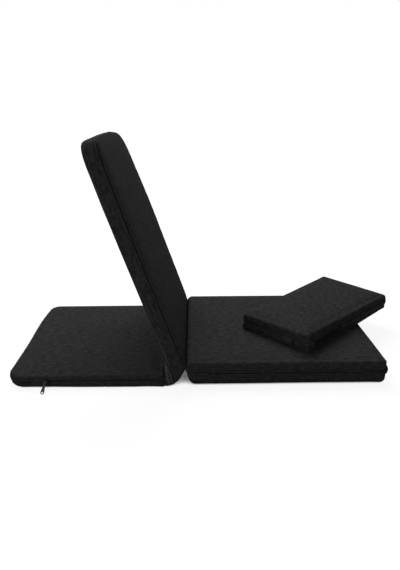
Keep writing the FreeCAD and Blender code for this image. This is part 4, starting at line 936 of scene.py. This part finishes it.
@dataclass
class BasePad(Pad):
    """The thin panel on the floor, with rounded rear corners and a rounded nose."""

    corner_near: float = 50 * MM
    corner_far: float = 32 * MM
    nose_top: float = 14 * MM
    nose_under: float = 3 * MM
    zip_end: float = -89.5 * MM
    skew: float = 9.5 * MM
    sag: float = 2.6 * MM
    tuck: float = 8 * MM

    def outline(self) -> Sequence[Corner]:
        """The side outline's corners."""
        i, top = self.puff, self.thick - self.puff
        return [
            Corner(self.low + i, 0), Corner(self.high - i, 0, self.nose_under),
            Corner(self.high - i, top, self.nose_top - i), Corner(self.low + i, top),
        ]

    def plan_corners(self) -> Sequence[tuple[float, int, float]]:
        """The rear corners."""
        return [(self.low + self.puff, -1, self.corner_near), (self.low + self.puff, 1, self.corner_far)]

    def closing(self, co: Array) -> dict[Closing, Array]:
        """A zip round the rear half, and a seam ahead of it.

        Args:
            co: the vertices.

        Returns:
            How strongly each closing shows at each.
        """
        x = co[:, 0]
        ahead = ramp(x, self.zip_end - 3 * MM, self.zip_end + 2 * MM)
        fades = 1 - ramp(x, self.high - 22 * MM, self.high - 8 * MM)
        return {Closing.ZIP: 1 - ahead, Closing.SEAM: ahead * fades}

    def shaped(self, co: Array, no: Array, start: Array) -> Array:
        """Leans the rear out at its far side, tucks the lower edges in, and lets them sag near the hinges.

        Args:
            co: the vertices.
            no: the blank's normals.
            start: the blank's vertices.

        Returns:
            The new vertices.
        """
        co = super().shaped(co, no, start)
        x, y, z = start.T
        rear = ramp(x, self.low + 110 * MM, self.low) * ramp(z, self.seam, self.thick)
        skew = self.skew * hump(y, 120 * MM, 130 * MM) - 2 * MM * hump(y, -200 * MM, 60 * MM)
        co[:, 0] -= rear * skew
        sag = self.side_share(no) * ramp(x, -120 * MM, 120 * MM) * hump(z, 3 * MM, 8 * MM)
        co[:, 1] += no[:, 1] * self.sag * sag
        self.tucked(co, start, self.tuck * ramp(-x, 20 * MM, 110 * MM), 5 * MM)
        return co


@dataclass
class SeatPad(Pad):
    """The thick pad on the floor ahead of the backrest's heel."""

    corner: float = 14 * MM
    rear_top: float = 14 * MM
    rear_under: Point = (9.5 * MM, 11 * MM)
    rear_foot: float = 25 * MM
    zip_rear: float = 303.1 * MM
    zip_round: float = -80 * MM
    fuller: float = 1.2 * MM
    tuck: float = 20 * MM

    def outline(self) -> Sequence[Corner]:
        """The side outline's corners."""
        i, top = self.puff, self.thick - self.puff
        slope, height = self.rear_under
        return [
            Corner(self.low + self.rear_foot, 0), Corner(self.high - i, 0), Corner(self.high - i, top),
            Corner(self.low + i, top, self.rear_top - i), Corner(self.low + i, self.seam + 2 * MM),
            Corner(self.low + i + slope, height, 9 * MM),
        ]

    def plan_corners(self) -> Sequence[tuple[float, int, float]]:
        """The front corners."""
        return [(self.high - self.puff, side, self.corner) for side in (-1, 1)]

    def closing(self, co: Array) -> dict[Closing, Array]:
        """A zip along the near side and round the near front corner, and a seam elsewhere.

        Args:
            co: the vertices.

        Returns:
            How strongly each closing shows at each.
        """
        x, y = co[:, 0], co[:, 1]
        near = ramp(-y, self.width / 2 - 20 * MM, self.width / 2 - 16 * MM)
        along = near * ramp(x, self.zip_rear - 2 * MM, self.zip_rear + 3 * MM)
        front = ramp(x, self.high - 18 * MM, self.high - 14 * MM)
        across = front * ramp(-y, -self.zip_round - 3 * MM, -self.zip_round + 2 * MM)
        zipped = np.maximum(along, across)
        return {Closing.ZIP: zipped, Closing.SEAM: 1 - zipped}

    def seam_values(self, start: Array, no: Array) -> tuple[Array, Array]:
        """Adds a line of painted shade where the rear rim meets the heel, standing in for the shadow where
        they touch.

        Args:
            start: the blank's vertices.
            no: their normals.

        Returns:
            Both distances, in metres.
        """
        valley_shade, row = super().seam_values(start, no)
        # Painted contact shade along the rear rim, against the heel.
        behind = (start[:, 0] < self.low + 5 * MM) & (np.abs(start[:, 1]) < self.width / 2 - 4 * MM)
        return np.where(behind, 0, valley_shade), row

    def shaped(self, co: Array, no: Array, start: Array) -> Array:
        """Tucks the lower edges in, and fills the rear face out towards the heel.

        Args:
            co: the vertices.
            no: the blank's normals.
            start: the blank's vertices.

        Returns:
            The new vertices.
        """
        co = super().shaped(co, no, start)
        co[:, 0] -= self.fuller * ramp(-no[:, 0], 0.3, 0.9) * hump(start[:, 2], 44 * MM, 12 * MM)
        self.tucked(co, start, self.tuck, 11 * MM)
        return co


@dataclass
class Cushion(Pad):
    """The small loose cushion, fuller than the pads, with creases about its near corner."""

    corner: float = 12 * MM
    zip_start: float = 30 * MM
    lift_near: float = 5.5 * MM
    lift_left: float = 0.5 * MM
    lift_right: float = -9 * MM
    lift_far: float = 4 * MM
    slump: float = 4.3 * MM
    crease: float = 1.1 * MM

    def plan_corners(self) -> Sequence[tuple[float, int, float]]:
        """Both ends."""
        ends = (self.low + self.puff, self.high - self.puff)
        return [(x, side, self.corner) for x in ends for side in (-1, 1)]

    def closing(self, co: Array) -> dict[Closing, Array]:
        """A zip along the near long side and round its far corner, and a seam elsewhere.

        Args:
            co: the vertices.

        Returns:
            How strongly each closing shows at each.
        """
        x, y = co[:, 0], co[:, 1]
        near = ramp(-y, self.width / 2 - 16 * MM, self.width / 2 - 13 * MM)
        along = near * ramp(x, self.low + self.zip_start - 2 * MM, self.low + self.zip_start + 3 * MM)
        end = ramp(x, self.high - 16 * MM, self.high - 13 * MM) * ramp(-y, -0.5 * MM, 4 * MM)
        zipped = np.maximum(along, end)
        return {Closing.ZIP: zipped, Closing.SEAM: 1 - zipped}

    def seam_values(self, start: Array, no: Array) -> tuple[Array, Array]:
        """Painted shade in the groove along the zip with a painted highlight beside it, and a painted
        highlight line along the seam elsewhere.

        Args:
            start: the blank's vertices.
            no: their normals.

        Returns:
            Both distances, in metres.
        """
        valley_shade, row = super().seam_values(start, no)
        zipped = self.closing(start)[Closing.ZIP] > 0.5
        off = np.where(self.side_share(no) > 0.3, 0.0, AWAY)
        rise = np.abs(start[:, 2] - self.seam)
        # Painted shade in the zip's groove, with a painted highlight line 5 mm from it.
        slot = np.minimum(0.6 * rise, PRESSED_HIGHLIGHT + np.abs(rise - 5 * MM))
        return np.where(zipped, slot + off, valley_shade + PRESSED_HIGHLIGHT), row

    def shaped(self, co: Array, no: Array, start: Array) -> Array:
        """Lifts and drops the corners of the top, and adds curved creases round the near one.

        Args:
            co: the vertices.
            no: the blank's normals.
            start: the blank's vertices.

        Returns:
            The new vertices.
        """
        co = super().shaped(co, no, start)
        x, y, z = start.T
        along = np.clip((x - self.low) / (self.high - self.low), 0, 1)
        across = np.clip(y / self.width + 0.5, 0, 1)
        near_side = self.lift_near * (1 - along) + self.lift_right * along
        far_side = self.lift_left * (1 - along) + self.lift_far * along
        co[:, 2] += (near_side * (1 - across) + far_side * across) * z / self.thick
        corners = ((1 - along) * (1 - across)) ** 2 + (along * across) ** 2
        slump = self.slump * corners * z / self.thick
        co[:, :2] += np.stack([-slump, slump], axis=1)
        near = np.hypot(x - self.low, y + self.width / 2)
        fold = np.sin(near / (3.4 * MM)) * ramp(near, 48 * MM, 12 * MM) * ramp(near, 4 * MM, 12 * MM)
        co += no * (fold * self.crease)[:, None]
        return co


@dataclass
class BackPad(Pad):
    """The tall backrest: rounded top corners, a slow flare behind and a round heel."""

    corner_near: float = 58 * MM
    corner_far: float = 88 * MM
    top_crown: float = 4.5 * MM
    twist: float = 6.5 * MM
    fuller: float = 3.5 * MM
    far_drop: float = 8 * MM
    pucker: float = 1.6 * MM
    bend: float = 2.2 * MM
    slit_end: float = 562 * MM
    crease: float = 534 * MM
    heel: Point = (19.5 * MM, -11.2 * MM)
    tip: Point = (-21.55 * MM, -2.3 * MM)
    tip_round: float = 8 * MM
    flare_start: float = 90 * MM
    flare_round: float = 600 * MM

    def side_face(self, y: float) -> Any:
        """The side outline, with its heel, tip and flare spun as arcs.

        Args:
            y: where the face lies across the width.

        Returns:
            A bmesh with one face.
        """
        i, top = self.puff, self.thick - self.puff
        bm = bmesh.new()
        flare = Vector((self.flare_start, y, -self.flare_round))
        tip, heel = Vector((self.tip[0], y, self.tip[1])), Vector((self.heel[0], y, self.heel[1]))
        to_tip, from_heel = (tip - flare).normalized(), (tip - heel).normalized()
        turn_flare = math.atan2(-to_tip.x, to_tip.z)
        turn_heel = math.atan2(-from_heel.x, from_heel.z)
        turn_tip = math.pi - turn_heel + turn_flare
        arcs = (
            (flare, Vector((self.flare_start, y, i)), -turn_flare, 10),
            (tip, tip - to_tip * (self.tip_round - i), turn_tip, 6),
            (heel, Vector((self.heel[0], y, top)), -turn_heel, 12),
        )
        loops = []
        for centre, first, turn, steps in arcs:
            vert = bm.verts.new(first)
            before = set(bm.verts)
            bmesh.ops.spin(bm, geom=[vert], cent=centre, axis=(0, 1, 0), angle=turn, steps=steps)
            loops.append([vert] + [v for v in bm.verts if v not in before])
        corners = [bm.verts.new((self.high - i, y, i)), bm.verts.new((self.high - i, y, top))]
        for a, b in ((corners[0], loops[0][0]), (loops[2][0], corners[1]), (corners[1], corners[0])):
            bm.edges.new((a, b))
        bmesh.ops.remove_doubles(bm, verts=list(bm.verts), dist=0.3 * MM)
        bmesh.ops.contextual_create(bm, geom=list(bm.edges))
        return bm

    def plan_corners(self) -> Sequence[tuple[float, int, float]]:
        """The top corners."""
        return [(self.high - self.puff, 1, self.corner_near), (self.high - self.puff, -1, self.corner_far)]

    def closing(self, co: Array) -> dict[Closing, Array]:
        """A covered slit near the front, all round but the heel."""
        x = co[:, 0]
        return {Closing.FLAP: ramp(x, 4 * MM, 26 * MM) * ramp(x, self.slit_end + 4 * MM, self.slit_end)}

    def seam_values(self, start: Array, no: Array) -> tuple[Array, Array]:
        """Adds painted highlight lines along the front and rear rims and along the crease under the top
        corner.

        Args:
            start: the blank's vertices.
            no: their normals.

        Returns:
            Both distances, in metres.
        """
        valley_shade, row = super().seam_values(start, no)
        x, y, z = start.T
        side = np.where(np.abs(no[:, 1]) > 0.4, 0, AWAY)
        inward = np.minimum(self.high - x, self.width / 2 - np.abs(y))
        inward = np.maximum(inward - 2.5 * MM, 0)
        # Painted highlight lines: rear rim, crease under the top corner, front rim.
        rear = PRESSED_HIGHLIGHT + 0.6 * np.abs(z - self.puff) + inward + 20 * MM * ramp(x, self.slit_end, self.high)
        across = PRESSED_HIGHLIGHT + np.abs(x - self.crease + 0.12 * z) + side + AWAY * (z > 0.8 * self.seam)
        front = PRESSED_HIGHLIGHT + np.abs(z - self.thick + self.puff) + inward + AWAY * (x < 26 * MM)
        return np.minimum.reduce([valley_shade + 0.45 * MM, rear, across, front]), row

    def shaped(self, co: Array, no: Array, start: Array) -> Array:
        """Adds slanting puckers and a crease, shapes the top, and holds the heel to its own round form.

        Args:
            co: the vertices.
            no: the blank's normals.
            start: the blank's vertices.

        Returns:
            The new vertices.
        """
        co = super().shaped(co, no, start)
        x, y, z = start.T
        slanted = np.stack([x - 1.3 * z, y, z * 0], axis=1)
        pucker = ripple(slanted, (0.013, 0.02, 1), self.seed + 21) * hump(z, self.seam - 9 * MM, 9 * MM)
        bent = self.bend * hump(x + 0.12 * z, self.crease - 5 * MM, 4 * MM)
        co[:, :2] += no[:, :2] * ((self.pucker * pucker - bent) * self.side_share(no))[:, None]
        middle = 1 - (y / (self.width / 2)) ** 2
        co[:, 0] += self.top_crown * middle * ramp(x, self.high - 120 * MM, self.high)
        far = np.clip(0.5 - y / self.width, 0, 1)
        co[:, 2] -= self.twist * far * ramp(x, self.high / 2, self.high)
        fuller = self.fuller * (1 - far) * ramp(x, self.high / 2, self.high - 40 * MM)
        co[:, 2] += fuller * z / self.thick
        co[:, 0] -= self.far_drop * ramp(far, 0.5, 0.95) * ramp(x, self.high - 130 * MM, self.high)
        behind = (1 - np.clip(z / self.thick, 0, 1)) * ramp(x, 90 * MM, 160 * MM)
        co[:, 2] += behind * (5.5 * ramp(x, 270 * MM, 560 * MM) - 2.9) * MM
        arm = (start - (self.heel[0], 0, self.heel[1])) * (1, 0, 1)
        reach = np.linalg.norm(arm, axis=1)
        ahead = arm[:, 2] * math.sin(BACK_LEAN) - arm[:, 0] * math.cos(BACK_LEAN)
        above = arm[:, 2] * math.cos(BACK_LEAN) + arm[:, 0] * math.sin(BACK_LEAN)
        angle = np.degrees(np.arctan2(above, ahead))
        skin = ramp(reach, HEEL_ROUND - 6 * MM, HEEL_ROUND - 3.5 * MM)
        turn = ramp(angle, 24, 14) * ramp(angle, -110, -100)
        held = skin * turn * ramp(x, self.heel[0] + 6 * MM, self.heel[0])
        swell = 2.4 * MM * hump(angle, -3, 9) - 1.9 * MM * hump(angle, -28, 13)
        round_heel = start + arm / reach[:, None] * (self.puff + swell)[:, None]
        co[:, 0] += held * (round_heel[:, 0] - co[:, 0])
        co[:, 2] += held * (round_heel[:, 2] - co[:, 2])
        return co


# -------- the fold and the stitched end


def arc(centre: Point, radius: float, first: float, last: float, steps: int) -> list[Point]:
    """Points of an arc in a side outline, from one angle in degrees to another in so many runs."""
    angles = np.radians(np.linspace(first, last, steps + 1))
    return [(centre[0] + radius * math.cos(a), centre[1] + radius * math.sin(a)) for a in angles]


@dataclass
class FoldGusset:
    """The cover's cloth where the backrest folds: it fills the valley between nose and heel."""

    name: str = "fold_gusset"
    half: float = 228.2 * MM
    steps: int = 96
    nose: Point = (181.5 * MM, 17 * MM)
    nose_round: float = 14.25 * MM
    cloth_thick: float = 0.75 * MM
    off_heel: float = 0.2 * MM
    crease_pitch: float = 2.5 * MM
    bend_angle: float = 0.6

    def outline(self) -> list[Point]:
        """The fold's side outline: over the nose, up the back, down its far side and under the heel.

        Returns:
            The outline's points, along X and Z.
        """
        over = arc(self.nose, self.nose_round + self.cloth_thick, 88, 34, 4)
        up = [(195.4, 24.6), (196.4, 25.6), (196.6, 29.0), (195.6, 38.0), (196.6, 52.0), (196.2, 62.0)]
        top = [(194.4, 74.0), (197.4, 73.6)]
        down = [(205.4, 53.9), (212.0, 34.2), (215.0, 18.0), (217.0, 13.0), (220.0, 10.0)]
        under = arc(HEEL, HEEL_ROUND + self.off_heel, -59, -87, 4)
        inside = [(196.0 * MM, 3.5 * MM), *arc(self.nose, self.nose_round + 0.25 * MM, 0, 88, 5)]
        middle = [(x * MM, z * MM) for x, z in up + top + down]
        return over + middle + under + inside

    def crease_highlights(self, co: Array) -> Array:
        """The seam values that draw a painted highlight along each crease of the side faces.

        Args:
            co: the vertices.

        Returns:
            One value for each vertex.
        """
        x, y, z = co.T
        steep, slack = np.abs(x + 0.21 * z - 207.5 * MM), np.abs(x + 0.375 * z - 219.8 * MM)
        return np.where(np.abs(y) > self.half - 3 * MM, PRESSED_HIGHLIGHT + np.minimum(0.6 * steep, slack), 1.0)

    def creased(self, co: Array, no: Array) -> Array:
        """Ruffles the cloth, and presses upright creases into its two side faces.

        Args:
            co: the vertices.
            no: their normals.

        Returns:
            The new vertices.
        """
        inner = ramp(self.half - np.abs(co[:, 1]), 0, 8 * MM)
        co = co + no * (0.5 * MM * ripple(co, (0.02, 0.014, 0.03), 11.0) * inner)[:, None]
        slant = co[:, 0] + 0.08 * co[:, 2]
        crease = hump(slant, 200.6 * MM, 1.6 * MM) + hump(slant, 205.4 * MM, 1.5 * MM)
        co[:, 1] += np.sign(no[:, 1]) * (np.abs(no[:, 1]) > 0.8) * (1.6 * crease - 0.4) * MM
        co[:, 2] = np.maximum(co[:, 2], 0.5 * MM)
        return co

    def make(self, cloth: Material) -> Object:
        """Builds the cloth of the fold.

        Args:
            cloth: the cover's cloth.

        Returns:
            The fold's object.
        """
        bm = bmesh.new()
        points = self.outline()
        bm.faces.new([bm.verts.new((x, -self.half, z)) for x, z in points])
        extrude_across(bm, 2 * self.half)
        for axis in (0, 2):
            places = [point[axis // 2] for point in points]
            cut_at(bm, axis, even_cuts(min(places), max(places), self.crease_pitch))
        cut_at(bm, 1, even_cuts(-self.half, self.half, 2 * self.half / self.steps))
        bmesh.ops.remove_doubles(bm, verts=list(bm.verts), dist=0.05 * MM)
        bmesh.ops.recalc_face_normals(bm, faces=list(bm.faces))
        for edge in bm.edges:
            edge.smooth = edge.calc_face_angle(0) < self.bend_angle
        obj = new_object(self.name, bm, cloth)
        mesh = obj.data
        co = self.creased(rows_of(mesh.vertices, "co"), rows_of(mesh.vertex_normals, "vector"))
        set_vertices(mesh, co)
        # Painted highlights along the creases.
        add_values(mesh, SEAM_NAME, self.crease_highlights(co))
        add_values(mesh, STITCH_NAME, np.ones(len(co)))
        ends = co[corners_of(mesh)]
        add_map(mesh, np.stack([ends[:, 0] + ends[:, 1], ends[:, 2]], axis=1))
        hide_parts("cover_fold")
        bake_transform(obj)
        return obj


@dataclass
class ZipEndStitch:
    """The dense bar of thread that closes the end of the base's zip."""

    name: str = "base_zip_bar_tack"
    x: float = -88.2 * MM
    y: float = -231.2 * MM
    low: float = 9.5 * MM
    high: float = 24.5 * MM
    wide: float = 2.4 * MM
    deep: float = 2.2 * MM

    def make(self, thread: Material) -> Object:
        """Builds the bar tack.

        Args:
            thread: the thread's finish.

        Returns:
            The bar tack's object.
        """
        bm = bmesh.new()
        size = Vector((self.wide, self.deep, self.high - self.low))
        middle = Matrix.Translation((self.x, self.y, (self.low + self.high) / 2))
        bmesh.ops.create_cube(bm, size=1, matrix=middle @ Matrix.Diagonal((*size, 1)))
        bevel_edges(bm, list(bm.edges), 0.7 * MM, 3)
        cut_at(bm, 2, even_cuts(self.low, self.high, 0.8 * MM))
        obj = new_object(self.name, bm, thread)
        obj.data.shade_smooth()
        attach(obj, "base")
        return obj


# -------- hinges, tubes, straps and zips


class CarriedNodes:
    """The frame's own solids that stay in view, each with the finish of its slot or its own."""

    by_slot: dict[str, Finish] = {
        "foam": Foam(),
        "webbing": Strap("black_webbing", (0.03, 0.03, 0.03), (math.pi / 2, 0, math.pi / 2)),
        "tube_steel": Metal("black_tube", (0.02, 0.02, 0.02), 0.5, 0.0),
        "hinge_steel": Metal("zinc_plate", (0.62, 0.62, 0.60), 0.38),
        "spring_steel": Metal("blued_spring", (0.20, 0.21, 0.24), 0.34),
        "zip_metal": Metal("gunmetal", (0.065, 0.065, 0.069), 0.46, 0.8),
    }
    by_node: dict[str, Finish] = {
        "cushion_tab": Strap("blank_tab", (0.028, 0.028, 0.029), (math.pi / 2, 0, CUSHION_TURN)),
        "base_zip_tape": ZipTape("base_zip_weave", (0, 0, 0), (0, 0, 17 * MM)),
        "seat_zip_tape": ZipTape("seat_zip_weave", (0, 0, 0), (0, 0, 36 * MM)),
        "cushion_zip_tape": ZipTape("cushion_zip_weave", (0, 0, -CUSHION_TURN), (0, 0, 86.7 * MM)),
        "backrest_zip_tape": ZipTape(
            "backrest_zip_weave", (0, BACK_LEAN - math.pi / 2, 0), (237.3 * MM, 0, 45.2 * MM),
        ),
    }

    def dress(self, groups: Groups, cloth: Material) -> None:
        """Gives every solid of the frame its material.

        Args:
            groups: the shared effects.
            cloth: the covers' cloth.
        """
        slots = {s["node"]: s["material_slot"] for s in frame["record"]["subparts"]}
        for_slot = {slot: finish.material(groups) for slot, finish in self.by_slot.items()}
        for_slot["canvas"] = cloth
        for_node = {node: finish.material(groups) for node, finish in self.by_node.items()}
        for node, obj in frame["nodes"].items():
            finish = for_node[node] if node in for_node else for_slot[slots[node]]
            obj.data.materials.clear()
            obj.data.materials.append(finish)
            log.info("%s: %s", node, finish.name)


# -------- stage


def bare_graph(owner: Any) -> Graph:
    """The graph of a material or world, without the nodes it starts with."""
    owner.use_nodes = True
    owner.node_tree.nodes.clear()
    return Graph(owner.node_tree)


@dataclass(frozen=True)
class Stage:
    """A plain pale floor under soft studio light."""

    floor_size: float = 14.0
    floor_drop: float = 0.4 * MM
    floor_albedo: float = 0.5
    floor_base: float = 0.90
    floor_far: float = 0.985
    contact: float = 50 * MM
    floor_shade: float = 0.14
    sky: float = 0.26
    lit: Triple = (0.28, 0, 0.1)

    def make(self) -> None:
        """Builds the floor, the lamps and the world."""
        bm = bmesh.new()
        under = Matrix.Translation((0, 0, -self.floor_drop))
        bmesh.ops.create_grid(bm, x_segments=1, y_segments=1, size=self.floor_size / 2, matrix=under)
        floor = new_object("studio_floor", bm, self.floor_material())
        self.lamp("soft_top", (-0.2, 1.45, 2.3), 2.0, 77)
        self.lamp("side_fill", (-1.2, -1.4, 0.5), 1.2, 7)
        self.world()

    def floor_material(self) -> Material:
        """White to the camera but for the object's shadow, and pale to everything else."""
        made = bpy.data.materials.new("pale_floor")
        g = bare_graph(made)
        plain = g.node("ShaderNodeBsdfDiffuse", {"Color": toned(WHITE, self.floor_albedo)})
        shaded = g.node("ShaderNodeBsdfDiffuse", {"Color": toned(WHITE, self.floor_shade)})
        away = g.node("ShaderNodeVectorMath", {0: g.place()}, operation="LENGTH").outputs["Value"]
        level = g.span(away, 0.9, 4.0, self.floor_base, self.floor_far)
        open_sky = g.node("ShaderNodeAmbientOcclusion", {"Distance": self.contact}).outputs["AO"]
        strength = g.math("MULTIPLY", level, g.span(open_sky, 0.02, 0.33))
        glow = g.node("ShaderNodeEmission", {"Color": toned(WHITE), "Strength": strength})
        seen = g.node("ShaderNodeAddShader", {0: shaded.outputs[0], 1: glow.outputs[0]})
        g.node("ShaderNodeOutputMaterial", {"Surface": g.for_camera(plain, seen)})
        return made

    def lamp(self, name: str, place: Sequence[float], size: float, power: float) -> None:
        """Hangs a square lamp that faces the chair.

        Args:
            name: the lamp's name.
            place: where it hangs.
            size: its side.
            power: in watts.
        """
        data = bpy.data.lights.new(name, "AREA")
        data.shape, data.size, data.energy = "SQUARE", size, power
        obj = bpy.data.objects.new(name, data)
        aim = Vector(self.lit) - Vector(place)
        obj.matrix_world = Matrix.Translation(place) @ aim.to_track_quat("-Z", "Y").to_matrix().to_4x4()
        bpy.context.scene.collection.objects.link(obj)

    def world(self) -> None:
        """White behind the object, and an even soft light on it."""
        made = bpy.data.worlds.new("studio")
        g = bare_graph(made)
        soft = g.node("ShaderNodeBackground", {"Color": toned(WHITE), "Strength": self.sky})
        white = g.node("ShaderNodeBackground", {"Color": toned(WHITE), "Strength": 1.0})
        g.node("ShaderNodeOutputWorld", {"Surface": g.for_camera(soft, white)})
        bpy.context.scene.world = made


@dataclass(frozen=True)
class Viewpoint:
    """The camera, low over the near side of the chair."""

    target: Triple = (0.28535, 0.0, 0.1827)
    distance: float = 1.3614
    elevation: float = math.radians(19.875)
    yaw: float = math.radians(0.6515)
    roll: float = math.radians(-0.27)
    lens: float = 30.92

    def make(self) -> None:
        """Adds the camera and makes it the scene's own."""
        flat, up = self.distance * math.cos(self.elevation), self.distance * math.sin(self.elevation)
        away = Vector((-flat * math.sin(self.yaw), -flat * math.cos(self.yaw), up))
        data = bpy.data.cameras.new("camera")
        data.lens, data.sensor_width = self.lens, 36.0
        data.clip_start, data.clip_end = 0.01, 100.0
        obj = bpy.data.objects.new("camera", data)
        look = (-away).to_track_quat("-Z", "Y").to_matrix().to_4x4() @ Matrix.Rotation(self.roll, 4, "Z")
        obj.matrix_world = Matrix.Translation(Vector(self.target) + away) @ look
        bpy.context.scene.collection.objects.link(obj)
        bpy.context.scene.camera = obj


# -------- the chair


def back_place() -> Matrix:
    """From the flat backrest to its lean on the hinge axis."""
    cos, sin = math.cos(BACK_LEAN), math.sin(BACK_LEAN)
    turn = Matrix(((-cos, 0, sin), (0, -1, 0), (sin, 0, cos))).transposed().to_4x4()
    return Matrix.Translation((HINGE[0], 0, HINGE[1])) @ turn @ Matrix.Translation((0, 0, -BEHIND_HINGE))


def cushion_place() -> Matrix:
    """From the flat cushion to its place askew on the seat."""
    turn = Matrix.Rotation(CUSHION_TURN, 4, "Z")
    return Matrix.Translation(CUSHION_CORNER) @ turn @ Matrix.Translation((0, CUSHION_WIDTH / 2, 0))


def main() -> None:
    """Builds the chair piece by piece, then the stage and the camera."""
    bpy.context.scene.view_settings.view_transform = "Standard"
    groups = Groups(weave_group(), lint_group(), seam_group(), wear_group())
    cloth = Canvas().material(groups)
    thread = Strap("black_thread", (0.012, 0.012, 0.012), thread=0.6 * MM).material(groups)
    CarriedNodes().dress(groups, cloth)
    Viewpoint().make()
    still = Matrix.Identity(4)
    pads = [
        BasePad(
            "base_pad", "base", ("base_cover", "base_foam"), -195.5 * MM, 195.5 * MM, PANEL_WIDTH, 31 * MM,
            17 * MM, still, crown=1.2 * MM, seed=1.0,
        ),
        BackPad(
            "backrest_pad", "backrest", ("backrest_cover", "backrest_foam"), -30.5 * MM, 571 * MM,
            PANEL_WIDTH, 38.8 * MM, 35.0 * MM, back_place(), crown=2.0 * MM, crown_under=0.8 * MM, seed=2.0,
        ),
        SeatPad(
            "seat_pad_cover", "seat_pad", ("seat_cover", "seat_foam"), 247.055 * MM, 742 * MM, PANEL_WIDTH,
            62 * MM, 36 * MM, still, crown=2.4 * MM, seed=3.0,
        ),
        Cushion(
            "cushion_pad", "cushion", ("cushion_cover", "cushion_fill"), 0.0, 436 * MM, CUSHION_WIDTH,
            49 * MM, 24.5 * MM, cushion_place(), crown=4 * MM, cell=5.5 * MM, give=6 * MM, fill=0.9, seed=4.0,
        ),
    ]
    for pad in pads:
        pad.make(cloth)
    # A lighter copy of the cloth with brighter painted highlights, standing in for light on the fold's cloth.
    pressed_highlight = Canvas("painted_highlight_canvas", light=(0.070, 0.070, 0.071), pressed_highlight=(0.19, 0.19, 0.19))
    FoldGusset().make(pressed_highlight.material(groups))
    ZipEndStitch().make(thread)
    Stage().make()


if __name__ == "__main__":
    logging.basicConfig(level=logging.INFO, format="%(message)s")
    main()
